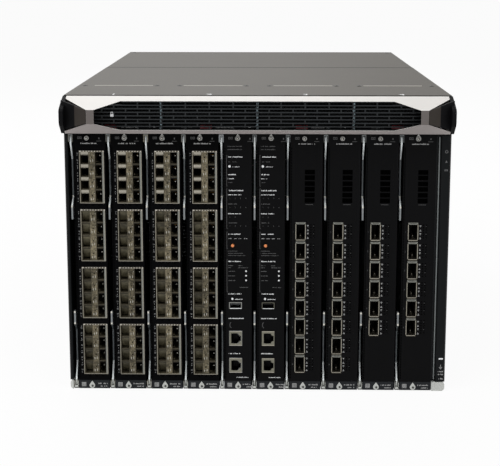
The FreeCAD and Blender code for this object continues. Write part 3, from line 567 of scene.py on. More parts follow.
def rotorRecipe():         # twisted blades round a hub
    recipe = Recipe("fanRotor", {"Hub": "Float", "Tip": "Float", "Depth": "Float", "Blades": "Int",
                                 "Sweep": "Float", "Finish": "Material"})
    hub, tip, depth, blades, sweep = [recipe.given(label) for label in ("Hub", "Tip", "Depth", "Blades", "Sweep")]
    flat = recipe.add("GeometryNodeMeshGrid", {}, {"Size X": 1.0, "Size Y": 1.0, "Vertices X": 5, "Vertices Y": 5})
    place = recipe.add("GeometryNodeInputPosition", {}, {})
    parts = recipe.add("ShaderNodeSeparateXYZ", {}, {"Vector": place})
    out, along = parts + 0.5, recipe.pick(parts, 1)
    radius = out * (tip - hub) + hub
    angle = along * sweep + out * 0.35
    cosine = recipe.add("ShaderNodeMath", {"operation": "COSINE"}, {0: angle})
    sine = recipe.add("ShaderNodeMath", {"operation": "SINE"}, {0: angle})
    bent = recipe.vector(radius * cosine, along * depth * 0.8, radius * sine)
    blade = recipe.add("GeometryNodeSetPosition", {}, {"Geometry": flat, "Position": bent})
    thick = recipe.add("GeometryNodeExtrudeMesh", {}, {"Mesh": blade, "Offset Scale": 0.0012, "Individual": False})
    back = recipe.add("GeometryNodeFlipFaces", {}, {"Mesh": blade})
    closed = recipe.add("GeometryNodeMergeByDistance", {}, {"Geometry": recipe.joined(thick, back),
                                                            "Distance": 0.00001})
    index = recipe.add("GeometryNodeInputIndex", {}, {})
    turn = recipe.add("ShaderNodeMath", {"operation": "DIVIDE"}, {0: index * (2 * math.pi), 1: blades})
    ring = recipe.onPoints(recipe.row(blades, (0, 0, 0)), closed, {"Rotation": recipe.vector(y=turn)})
    core = recipe.add("GeometryNodeMeshCylinder", {}, {"Vertices": 24, "Radius": hub, "Depth": depth})
    wheel = recipe.joined(ring, recipe.moved(core, (0, 0, 0), (math.pi / 2, 0, 0)))
    return recipe.finish(recipe.onPoints(Wire(recipe, recipe.entry.outputs[0]), recipe.real(wheel)))


def grilleRecipe():        # level slats with short webs, staggered from row to row
    recipe = Recipe("bezelSlats", {"Half": "Float", "Gaps": "Int", "Pitch": "Float", "Slat": "Float",
                                   "Depth": "Float", "Web": "Float", "Web Pitch": "Float", "Webs": "Int",
                                   "Finish": "Material"})
    half, gaps, pitch, slat = [recipe.given(label) for label in ("Half", "Gaps", "Pitch", "Slat")]
    depth, web, webPitch, webs = [recipe.given(label) for label in ("Depth", "Web", "Web Pitch", "Webs")]
    bar = recipe.add("GeometryNodeMeshCube", {}, {"Size": recipe.vector(half * 2, depth, slat)})
    bars = recipe.onPoints(recipe.row(gaps + 1, recipe.vector(z=pitch)), bar)
    index = recipe.add("GeometryNodeInputIndex", {}, {})
    between = recipe.row(gaps, recipe.vector(z=pitch))
    shift = recipe.vector(x=(index % 2) * webPitch * 0.5, z=pitch * 0.5)
    between = recipe.add("GeometryNodeSetPosition", {}, {"Geometry": between, "Offset": shift})
    start = recipe.vector(x=webs * webPitch * -0.5)
    crossRow = recipe.row(webs, recipe.vector(x=webPitch), start)
    spots = recipe.real(recipe.onPoints(between, crossRow))
    reach = recipe.pick(recipe.add("ShaderNodeSeparateXYZ", {}, {
        "Vector": recipe.add("GeometryNodeInputPosition", {}, {})}), 0)
    reach = recipe.add("ShaderNodeMath", {"operation": "ABSOLUTE"}, {0: reach})
    post = recipe.add("GeometryNodeMeshCube", {}, {"Size": recipe.vector(web, depth * 0.8, pitch)})
    posts = recipe.onPoints(spots, post, {"Selection": reach < half})
    return recipe.finish(recipe.onPoints(Wire(recipe, recipe.entry.outputs[0]),
                                         recipe.real(recipe.joined(bars, posts))))


def finRecipe():           # a base with upright fins, for a heat sink lying on its board
    recipe = Recipe("sinkFins", {"Base": "Float", "Rise": "Float", "Length": "Float", "Height": "Float",
                                 "Fins": "Int", "Thickness": "Float", "Finish": "Material"})
    base, rise, length, height = [recipe.given(label) for label in ("Base", "Rise", "Length", "Height")]
    fins, thickness = recipe.given("Fins"), recipe.given("Thickness")
    foot = recipe.add("GeometryNodeMeshCube", {}, {"Size": recipe.vector(base, length, height)})
    foot = recipe.moved(foot, recipe.vector(x=base * 0.5))
    fin = recipe.add("GeometryNodeMeshCube", {}, {"Size": recipe.vector(rise, length, thickness)})
    step = recipe.add("ShaderNodeMath", {"operation": "DIVIDE"}, {0: height - thickness, 1: fins - 1.0})
    first = recipe.vector(x=rise * 0.5, z=(thickness - height) * 0.5)
    row = recipe.row(fins, recipe.vector(z=step), first)
    return recipe.finish(recipe.onPoints(Wire(recipe, recipe.entry.outputs[0]),
                                         recipe.real(recipe.joined(foot, recipe.onPoints(row, fin)))))


def holesRecipe():         # staggered six-sided dots for a perforated sheet
    recipe = Recipe("sheetHoles", {"Columns": "Int", "Rows": "Int", "Pitch": "Float", "Radius": "Float",
                                   "Turn": "Vector", "Finish": "Material"})
    pitch = recipe.given("Pitch")
    dot = recipe.add("GeometryNodeMeshCylinder", {}, {"Vertices": 6, "Radius": recipe.given("Radius"),
                                                      "Depth": 0.00016})
    dot = recipe.moved(dot, (0, 0, 0), (math.pi / 2, 0, 0))
    index = recipe.add("GeometryNodeInputIndex", {}, {})
    rows = recipe.row(recipe.given("Rows"), recipe.vector(z=pitch * 0.866))
    rows = recipe.add("GeometryNodeSetPosition", {}, {"Geometry": rows,
                                                      "Offset": recipe.vector(x=(index % 2) * pitch * 0.5)})
    columns = recipe.row(recipe.given("Columns"), recipe.vector(x=pitch))
    spots = recipe.real(recipe.onPoints(rows, columns))
    sheet = recipe.real(recipe.onPoints(spots, dot))
    return recipe.finish(recipe.onPoints(Wire(recipe, recipe.entry.outputs[0]), sheet,
                                         {"Rotation": recipe.given("Turn")}))


recipes = {"rows": rowsRecipe(), "screw": screwRecipe(), "guard": guardRecipe(), "rotor": rotorRecipe(),
           "grille": grilleRecipe(), "fins": finRecipe(), "holes": holesRecipe()}
print("recipes:", len(recipes))


def grown(kind, finish, spots, values):
    return grow(recipes[kind], spots, {**values, "Finish": finishes[finish]})


def copies(shape, finish, spots, columns=1, across=0.0, rows=1, up=0.0, groups=1, rise=0.0):
    mesh = bpy.data.meshes.new("shape")
    mesh.from_pydata([[part * mm for part in point] for point in shape.points], [], shape.faces)
    pattern = bpy.data.objects.new("pattern", mesh)
    scene.collection.objects.link(pattern)
    made = grown("rows", finish, spots, {"Piece": pattern, "Columns": columns, "Across": across * mm, "Rows": rows,
                                         "Up": up * mm, "Groups": groups, "Rise": rise * mm})
    bpy.data.objects.remove(pattern)
    return made


def addCopies(stock, shape, finish, spots, **layout):
    stock.mesh(copies(shape, finish, spots, **layout), finish, soft=False)


def screws(stock, finish, spots, radius, height, recess, turn):
    made = grown("screw", finish, spots, {"Radius": radius * mm, "Height": height * mm, "Recess": recess,
                                          "Turn": [math.radians(part) for part in turn]})
    stock.mesh(made, finish)


# Shapes that get copied

def boxShape(*boxes):
    shape = Stock("shape")
    for low, high in boxes:
        shape.box(low, high, "cageNickel")
    return shape


def plateShape(outline, x0, x1):                          # a bent plate: an outline in y and z, pulled along x
    shape = Stock("shape")
    count = len(outline)
    points = [(x0, y, z) for y, z in outline] + [(x1, y, z) for y, z in outline]
    faces = [list(range(count)), list(range(2 * count - 1, count - 1, -1))]
    faces += [(place, count + place, count + (place + 1) % count, (place + 1) % count) for place in range(count)]
    shape.add(points, [face[::-1] for face in faces], "cageNickel")
    return shape


def ringShape(radius, inner, depth, sides=9):
    shape = Stock("shape")
    turns = [2 * math.pi * place / sides for place in range(sides)]
    points = [(size * math.cos(turn), y, size * math.sin(turn))
              for size, y in ((radius, 0.0), (radius, -depth), (inner, -depth), (inner, 0.0)) for turn in turns]
    faces = []
    for band in range(3):
        for place in range(sides):
            after = (place + 1) % sides
            faces.append((band * sides + place, band * sides + after, (band + 1) * sides + after,
                          (band + 1) * sides + place))
    shape.add(points, faces, "cageNickel")
    return shape


# Printed marks: rows of small strokes instead of words

pens = random.Random(8)


def words(stock, x, z, length, height, y, finish="printWhite"):
    at = x
    while at < x + length - 0.3 * height:
        wide = height * pens.uniform(0.3, 0.62)
        if pens.random() > 0.16:
            tall = height * pens.choice((0.72, 0.72, 1.0))
            stock.box((at, y - 0.05, z), (min(at + wide, x + length), y + 0.02, z + tall), finish)
        at += wide + 0.16 * height


def mark(stock, x0, x1, z0, z1, y, finish="printWhite", rise=0.05):
    stock.box((x0, y - rise, z0), (x1, y + 0.02, z1), finish)


def arrow(stock, x, z, size, up, y, finish="printWhite"):
    tip = z + size / 2 if up else z - size / 2
    foot = z - size / 2 if up else z + size / 2
    outline = [(x - size / 2, foot), (x + size / 2, foot), (x, tip)]
    stock.slab(outline if up else outline[::-1], y - 0.05, y + 0.02, finish)


# Covers and chassis

front = boxOf("left_trim")[0][1]                          # the front plane
lidTop = boxOf("rear_cover")[1][2]
cover = {"edge": 0.5, "screwRadius": 3.0, "screwHeight": 0.55, "numberHeight": 11.0, "numberBack": 8.5,
         "hem": 5.0, "seamShadeInset": 0.6, "seamShadeGap": 0.5, "frontBand": 30, "ribsFrom": 50}


def numeral(stock, text, x, y, z, height, finish, flat=False):
    curve = bpy.data.curves.new("numeral", "FONT")
    curve.body = text
    curve.size = height * 1.4
    curve.align_x = "CENTER"
    curve.extrude = 0.03
    curve.resolution_u = 2
    holder = bpy.data.objects.new("numeral", curve)
    scene.collection.objects.link(holder)
    depsgraph = bpy.context.evaluated_depsgraph_get()
    depsgraph.update()
    mesh = bpy.data.meshes.new_from_object(holder.evaluated_get(depsgraph))
    bpy.data.objects.remove(holder)
    turn = Matrix.Identity(3) if flat else Matrix.Rotation(math.pi / 2, 3, "X")
    points = [turn @ vertex.co + Vector((x, y, z)) for vertex in mesh.vertices]
    stock.add(points, [list(face.vertices) for face in mesh.polygons], finish)


def lidMarks(stock):
    for number in range(1, 5):
        low, high = boxOf("power_supply_%d" % number)
        numeral(stock, str(number), (low[0] + high[0]) / 2, front + cover["numberBack"], lidTop + 0.02,
                cover["numberHeight"], "lampWhite", True)
    half, seam = boxOf("front_cover")[1][:2]
    half -= cover["seamShadeInset"]
    # a near-black strip along the seam between the covers: painted shade
    stock.box((-half, seam - cover["hem"], lidTop - 0.02), (half, seam - cover["seamShadeGap"], lidTop + 0.05), "lidEdgeShade")
    stock.repaint(lidEdges)


# The lid's front-facing faces near the front are painted near black as shade in the gap below them; the ribs' front
# faces are painted light as highlights
def lidEdges(centre, normal):
    if normal.y < -0.7 and centre.y < front + cover["frontBand"]:
        return "lidEdgeShade"
    if centre.z > lidTop + 0.1 and normal.y < 0.3 and centre.y > front + cover["ribsFrom"]:
        return "ribHighlight"


dress("front_cover", allIn("lidPaint", cover["edge"]), "chassis", "cover_paint", lidMarks)
dress("rear_cover", allIn("lidPaint", cover["edge"]), "chassis", "cover_paint")
lidScrews = Stock("cover_screws_dressed")
spots = [(x, y, lidTop) for x, y, z in centres("cover_screws")]
screws(lidScrews, "blackScrew", spots, cover["screwRadius"], cover["screwHeight"], 0.5, (0, 0, 0))
lidScrews.done("chassis", "screw_steel", ["cover_screws"])
dress("chassis_shell", allIn("casePaint", 0.4), "chassis", "chassis_paint")


shelf = {"zincAbove": 308.6, "seams": (-110.125, 0.0, 110.125), "seamHalf": 1.1, "seamBack": (5.2, 6.1),
         "seamHeight": (309.0, 346.0)}


def shelfPaint(stock):                                    # bare zinc above the shelf, paint on its front edge
    stock.repaint(lambda centre, normal: "zincSteel" if centre.z > shelf["zincAbove"] else None)
    # light strips on the uprights' front edges: painted highlight
    y0, y1 = [front + back for back in shelf["seamBack"]]
    z0, z1 = shelf["seamHeight"]
    for x in shelf["seams"]:
        stock.box((x - shelf["seamHalf"], y0, z0), (x + shelf["seamHalf"], y1, z1), "seamZincHighlight")


dress("bay_shelf", allIn("casePaint", 0.2), "chassis", "chassis_paint", shelfPaint)
dress("card_guides", allIn("guidePlastic"), "chassis", "guide_plastic")


def isPanel(low, high):
    return high[0] - low[0] > 300


dress("midplane", lambda low, high: ("boardGreen", 0.2) if isPanel(low, high) else ("plugPlastic", 0.4),
      "chassis", "circuit_board")


def backplanePaint(low, high):
    if isPanel(low, high):
        return "boardGreen", 0.2
    return ("plugPlastic", 0.4) if high[1] - low[1] < 10 else ("zincSteel", 0.4)


dress("power_backplane", backplanePaint, "chassis", "circuit_board")
dress("rear_frame", allIn("zincSteel"), "chassis", "chassis_paint")
dress("power_inlets", lambda low, high: ("plugPlastic", 0.5) if high[0] - low[0] > 20 else ("brightPinAndGlint", 0.3),
      "chassis", "inlet_plastic")
print("chassis: dressed")


# Sill and trims

sill = {"edge": 0.8, "dark": (-217.2, 205.1)}
trim = {"edge": 0.4, "icons": (286.8, 275.5, 265.3), "iconSize": 3.8, "inset": 3.6, "edgeLine": (13.0, 303.0),
        "edgeBack": (3.9, 4.1), "labels": (23.4, 20.0, 14.6), "dash": (39.0, 40.8), "ground": 29.2}


def sillPaint(stock):                                     # dark but for its ends
    left, right = sill["dark"]
    stock.repaint(lambda centre, normal: "footPaint" if left < centre.x < right else None)


def trimMarks(stock):
    low, high = boxOf("right_trim")
    x = high[0] - trim["inset"]
    y = low[1]
    half = trim["iconSize"] / 2
    for place, z in enumerate(trim["icons"]):
        if place == 0:
            stock.disc(x, z, half, y - 0.05, y + 0.02, "printFaint")
            stock.disc(x, z, half * 0.6, y - 0.08, y + 0.02, "trimPaint")
        elif place == 1:
            arrow(stock, x, z, half * 1.4, True, y, "printFaint")
        else:
            mark(stock, x - half, x + half, z - half * 0.5, z + half * 0.5, y, "printFaint")
            mark(stock, x - half * 0.6, x + half * 0.6, z - half * 0.15, z + half * 0.15, y, "trimPaint", 0.08)
    mark(stock, x - half * 1.3, x + half * 1.3, *trim["dash"], y, "lampWhite")
    z = trim["ground"]                                    # ground mark: a stem over three shrinking bars
    mark(stock, x - 0.25, x + 0.25, z + 0.6, z + 3.4, y, "printWhite")
    for place in range(3):
        mark(stock, x - 2.0 + 0.65 * place, x + 2.0 - 0.65 * place, z - 1.0 * place, z + 0.4 - 1.0 * place, y,
             "printWhite")
    (y0, y1), (z0, z1) = trim["edgeBack"], trim["edgeLine"]
    inner = low[0] + 2.6
    stock.box((inner, y + y0, z0), (inner + 1.2, y + y1, z1), "edgeSteel")
    stock.box((low[0] + 0.1, y + y0, z0), (low[0] + 0.7, y + y1, z1), "footPaint")
    for z in trim["labels"]:
        words(stock, x - 3.0, z, 6.0, 1.6, y, "printWhite")


dress("front_sill", allIn("castSilverAndHeelLight", sill["edge"]), "chassis", "silver_metal", sillPaint)
dress("left_trim", allIn("trimPaint", trim["edge"]), "chassis", "chassis_paint")
dress("right_trim", allIn("trimPaint", trim["edge"]), "chassis", "chassis_paint", trimMarks)


# Bezel

bezel = {"edge": 0.6, "windowHalf": 182.5, "windowHeight": (313.2, 346.4), "capWidth": 4.2, "capProud": 0.4,
         "gripFacet": 204.4}
slats = {"gaps": 8, "slat": 1.15, "depth": 4.0, "web": 1.3, "webPitch": 27.0, "webs": 16, "topHalf": 153.0,
         "topWebs": 12, "margin": 0.2}
lock = {"x": -164.0, "z": 328.0, "width": 3.6, "height": 2.8}


def isPlate(low, high):                                   # the grille's plate, made again as slats
    return high[0] - low[0] > 200


def gripPaint(low, high):
    return None if isPlate(low, high) else ("gripPlastic", 0.7)


# Paints the frame's faces by the way they look: front faces as painted shade, the window's walls and the sides as
# darker painted shade, faces that look down as painted shade, the window's upward lower lip as a painted highlight
def bezelTones(centre, normal):
    foot, top = bezel["windowHeight"]
    inWindow = abs(centre.x) < bezel["windowHalf"] and foot < centre.z < top
    if normal.y < -0.95:
        return "bezelWaistShade"
    if inWindow and normal.y > -0.2:
        return "bezelSilverLit" if normal.z > 0.3 and centre.z < 330 else "bezelFacetShade"
    if normal.z < -0.25:
        return "bezelShade"
    return "bezelFacetShade" if abs(normal.x) > 0.9 else None


def bezelEnds(stock):                                     # the frame's ends stop short, black end caps close them
    # painted light and shade by the way each face looks
    stock.repaint(bezelTones)
    low, high = boxOf("bezel_frame")
    y0, y1, z0, z1 = low[1], high[1], low[2], high[2]
    width = bezel["capWidth"]
    end = high[0] - width
    stock.points = [(x - math.copysign(width, x) if abs(x) > end - 4 else x, y, z) for x, y, z in stock.points]
    outline = [(y1, z0), (y1 - 15.0, z0), (y0 + 2.5, z0 + 10.5), (y0 + 0.4, z0 + 14.5), (y0 + 0.4, z1 - 14.0),
               (y0 + 2.5, z1 - 11.5), (y0 + 16.0, z1 - 5.0), (y1, z1 + 0.1)]
    for side in (-1, 1):
        inner, outer = sorted((side * end, side * (high[0] + bezel["capProud"])))
        cap = plateShape(outline, inner, outer)
        stock.add(cap.points, cap.faces, "gripPlastic")


def grillePart(stock):
    # the grips' facets painted dark: painted shade
    stock.repaint(lambda centre, normal: "bezelFacetShade" if abs(centre.x) < bezel["gripFacet"] else None)
    low, high = solidBoxes("bezel_grille", isPlate)[0]
    foot = low[2] + slats["slat"] / 2
    pitch = (high[2] - slats["slat"] - low[2]) / slats["gaps"]
    middle = (low[1] + high[1]) / 2
    top = foot + pitch * (slats["gaps"] - 1)
    for z, half, gaps, webs, depth in ((foot, high[0] - slats["margin"], slats["gaps"] - 1, slats["webs"], 1.0),
                                       (top, slats["topHalf"], 1, slats["topWebs"], 0.98)):
        rows = grown("grille", "grillePlastic", [(0, middle, z)], {
            "Half": half * mm, "Gaps": gaps, "Pitch": pitch * mm, "Slat": slats["slat"] * mm,
            "Depth": slats["depth"] * mm * depth, "Web": slats["web"] * mm, "Web Pitch": slats["webPitch"] * mm,
            "Webs": webs})
        stock.mesh(rows, "grillePlastic", soft=False)
    x, y, half = lock["x"], low[1], lock["width"] / 2
    body, ring = lock["z"] + lock["height"], lock["z"] + lock["height"] + 2.0
    for left, right, z0, z1 in ((-1, 1, lock["z"], body), (-0.7, -0.4, body, ring), (0.4, 0.7, body, ring),
                                (-0.7, 0.7, ring, body + 2.6)):
        mark(stock, x + half * left, x + half * right, z0, z1, y, "lampWhite", 0.4)


dress("bezel_frame", allIn("bezelSilverLit", bezel["edge"]), "bezel", "bezel_plastic", bezelEnds)
dress("bezel_grille", gripPaint, "bezel", "grille_plastic", grillePart)
print("bezel: dressed")


# Power supplies

supply = {"holePitch": 4.3, "holeRadius": 1.55, "columns": 22, "rows": 8, "faceBack": 15.0, "holesFrom": (5.0, 8.6),
          "print": 2.4, "lampRadius": 1.3, "lamps": ((46, "lampWhite"), (41, "printFaint"))}


def supplyPaint(low, high):
    size = [high[axis] - low[axis] for axis in range(3)]
    if size[1] > 200:
        return "supplyFace", 0.6
    if low[1] > -100:
        return "plugPlastic", 0.4
    return ("tabPlastic", 0.5) if size[2] < 5 else ("gripPlastic", 1.0)


def supplyFront(node):
    def draw(stock):
        low, high = boxOf(node)
        y = front + supply["faceBack"]
        stock.repaint(lambda centre, normal: "zincSteel" if abs(normal.y) < 0.5 and centre.y > front + 20 else None)
        # black dots in place of the perforation: painted shade of the holes
        holes = grown("holes", "holeShade", [(low[0] + supply["holesFrom"][0], y - 0.02,
                                              low[2] + supply["holesFrom"][1])], {
            "Columns": supply["columns"], "Rows": supply["rows"], "Pitch": supply["holePitch"] * mm,
            "Radius": supply["holeRadius"] * mm, "Turn": (0, 0, 0)})
        stock.mesh(holes, "holeShade", soft=False)
        middle = (low[0] + high[0]) / 2
        words(stock, middle + 7, low[2] + supply["print"], 20, 1.8, y)
        words(stock, middle - 34, low[2] + supply["print"], 14, 1.8, y, "printFaint")
        for shift, tone in supply["lamps"]:
            stock.disc(middle + shift, low[2] + 4.0, supply["lampRadius"], y - 0.6, y, tone)
    return draw


for number in range(1, 5):
    node = "power_supply_%d" % number
    dress(node, supplyPaint, node, "supply_steel", supplyFront(node))
print("supplies: dressed")


# Cards: what they all have

face = {"screwAcross": 21.9, "headScrew": 301.8, "footScrew": 4.6, "screwRadius": 2.8, "screwHeight": 2.3,
        "recess": 0.62, "washer": 3.3, "headWasher": 3.0, "footTop": 11.2, "column": 5.9, "slots": 84,
        "slotPitch": 3.3, "strip": (0.7, 5.5), "stripHeight": (1.4, 4.6), "fins": 17, "finBase": 4.0,
        "finThickness": 1.0}


def isSink(low, high):                                    # the heat sink, made again with its fins
    return 85 < high[1] - low[1] < 95


def cardPaint(low, high):
    size = [high[axis] - low[axis] for axis in range(3)]
    if size[2] > 290:
        if size[0] > 20:
            return ("faceBlack" if low[0] < -50 else "facePaint"), 0.0
        return "zincSteel", 0.15                          # the carrier
    if size[2] > 280:
        return "boardGreen", 0.15
    if size[1] > 200:
        return "zincSteel", 0.3                           # the standoff rail
    if size[2] > 120:
        return "plugPlastic", 0.5
    if isSink(low, high):
        return None
    if size[1] < 3 and size[0] < 8:
        return None                                       # captive screws, made again with round heads
    if 10.5 < size[1] < 11.5 and size[2] > 9:
        return "castSilverAndHeelLight", 0.5
    if size[1] < 18.5 and size[0] > 14:
        return "jackShell", 0.25                          # jacks and the bus socket
    if abs(size[0] - 12.2) < 0.2:
        return "cageDark", 0.3
    if size[0] < 8:
        return ("stripNickel", 0.15) if size[2] > 20 else ("cageNickel", 0.1)
    if size[0] < 10 and size[2] < 2:
        return "cageNickel", 0.1
    return ("cageNickel", 0.2) if size[1] > 20 else ("plugPlastic", 0.2)


def cardCommon(node):
    low, high = boxOf(node)
    left = low[0] - 0.3
    plate = front

    def draw(stock):
        # the upper corner blocks get the darker silver: painted shade under the bezel
        head = stock.paint("headSilverShade")
        silver = stock.paint("castSilverAndHeelLight")
        for place, corners in enumerate(stock.faces):
            if stock.paints[place] == silver and stock.points[corners[0]][2] > 200:
                stock.paints[place] = head
        x, z = left + face["screwAcross"], face["headScrew"]
        screws(stock, "screwSteel", [(x, plate, z)], face["screwRadius"], face["screwHeight"], 0.7, (90, 0, 0))
        stock.disc(x, z, 2.1, plate - 0.85, plate, "blackScrew")
        stock.disc(x - 0.3, z - 0.4, 0.8, plate - 1.3, plate, "brightPinAndGlint", 8)
        screws(stock, "blackScrew", [(x + 0.4, plate, face["footScrew"])], 1.2, 2.0, face["recess"], (90, 0, 0))
        for z, size, shown in ((4.8, face["washer"], True), (z, face["headWasher"], pens.random() > 0.5)):
            drop = [(x + size * math.cos(turn), z + size * math.sin(turn))
                    for turn in [math.radians(140 + 13 * step) for step in range(21)]]
            drop.append((x, z + size * 1.75))
            if shown:
                stock.slab(drop, plate - 0.7 if z < 100 else plate - 0.3, plate + 0.02, "castSilverAndHeelLight")
        (x0, x1), (z0, z1) = face["strip"], face["stripHeight"]      # the lower lever cuts into it from 59 degrees on
        stock.box((left + x0, plate, z0), (left + x1, plate + 0.5, z1), "castSilverAndHeelLight")
        stock.box((left + face["column"] + 0.3, plate - 0.12, 1.2), (high[0] - 0.3, plate + 0.02, face["footTop"]),
                  "footPaint")
        y = plate - 0.12
        mark(stock, left + 9.5, left + 14.6, 3.6, 8.6, y, "printWhite")          # a bare pale plate
        words(stock, left + 27.5, 6.4, 12.5, 1.6, y)
        words(stock, left + 31.8, 3.2, 8.0, 1.5, y)
        # black slots on the face: painted shade in place of open slots
        slot = boxShape(((0.0, -0.04, 0.0), (1.6, 0.02, 1.9)))
        addCopies(stock, slot, "holeShade", [(left + 6.4, plate, 15.0)], rows=face["slots"], up=face["slotPitch"])
        for place in range(9):
            mark(stock, left + 9.9 + 1.5 * (place % 3) + 0.3 * pens.random(), left + 10.9 + 1.5 * (place % 3),
                 4.0 + 1.5 * (place // 3), 4.9 + 1.5 * (place // 3), y, "footPaint", 0.09)
        for shift in (0.0, 2.6):
            mark(stock, left + 11.3 + shift, left + 13.4 + shift, 300.6, 303.2, plate, "printFaint")
            mark(stock, left + 11.7 + shift, left + 13.0 + shift, 301.1, 302.7, plate, "facePaint", 0.08)
        mark(stock, left + 35.4, left + 36.6, 300.4, 302.2, plate, "printFaint")
        mark(stock, left + 33.0, left + 38.6, 298.0, 298.4, plate, "printFaint")
        first, last = solidBoxes(node, isSink)[0]
        rise, length, height = [last[axis] - first[axis] for axis in range(3)]
        spot = (first[0], (first[1] + last[1]) / 2, (first[2] + last[2]) / 2)
        sink = grown("fins", "sinkAluminium", [spot], {
            "Base": face["finBase"] * mm, "Rise": rise * mm, "Length": length * mm, "Height": height * mm,
            "Fins": face["fins"], "Thickness": face["finThickness"] * mm})
        stock.mesh(sink, "sinkAluminium", soft=False)
    return draw


# Where the lever tones change: a root and an upper neck painted bright as highlight, a finger painted lighter, the rest
# left dim as painted shade in the channel
leverLightBands = {"root": 36.0, "heel": 9.0, "finger": 16.5, "neck": 26.5, "upperGlints": ((15.5, 0.0), (25.5, 9.0)),
             "lowerGlints": ((1.2, 0.0), (14.8, 0.0))}      # dots: from the tip, back from the front


def leverTones(stock, lever):
    low, high = boxOf(lever)
    upper = "upper" in lever
    root = high[2] - leverLightBands["root"] if upper else low[2] + leverLightBands["root"]
    tip = low[2] if upper else high[2]
    inward = 1 if upper else -1

    # root and upper neck: painted highlight; finger: lighter; the middle keeps the dim painted shade
    def rule(centre, normal):
        # the lower lever's heel inside the fork, painted bright silver against its shade: painted light
        if not upper and centre.z < low[2] + leverLightBands["heel"]:
            return "castSilverAndHeelLight"
        if (centre.z > root) == upper:
            return "leverRoot"
        away = abs(centre.z - tip)
        if away < leverLightBands["finger"]:
            return "leverFinger"
        return "leverRoot" if away < leverLightBands["neck"] and upper else None
    stock.repaint(rule)
    x0, x1 = low[0], high[0]
    # small bright boxes at the bends: painted glints
    for shift, back in leverLightBands["upperGlints" if upper else "lowerGlints"]:
        y, z = low[1] + back, tip + inward * shift
        stock.box((x0 + 0.1, y - 0.25, z - 1.1), (x1 - 0.1, y + 1.2, z + 1.1), "brightPinAndGlint")


def dressCard(node, *extras):
    dress(node, cardPaint, node, "card_paint", cardCommon(node), *extras)
    for end in ("lower", "upper"):
        lever = "%s_%s_lever" % (node, end)
        dress(lever, allIn("leverSteel", 0.35), lever, "lever_metal", lambda stock: leverTones(stock, lever))


# The 32-port cards

block = {"width": 27.8, "height": 61.0, "wall": 1.0, "row": 15.0, "strip": 10.3, "stripWidth": 7.2, "rim": 1.1}
blockFittings = []


def blockBases(node, width, height):                      # the low corners of a card's cages, from the lowest up
    def isCage(low, high):
        return (abs(high[0] - low[0] - width) < 0.2 and abs(high[2] - low[2] - height) < 0.3
                and high[1] - low[1] > 20)
    return sorted((low for low, high in solidBoxes(node, isCage)), key=lambda low: low[2])


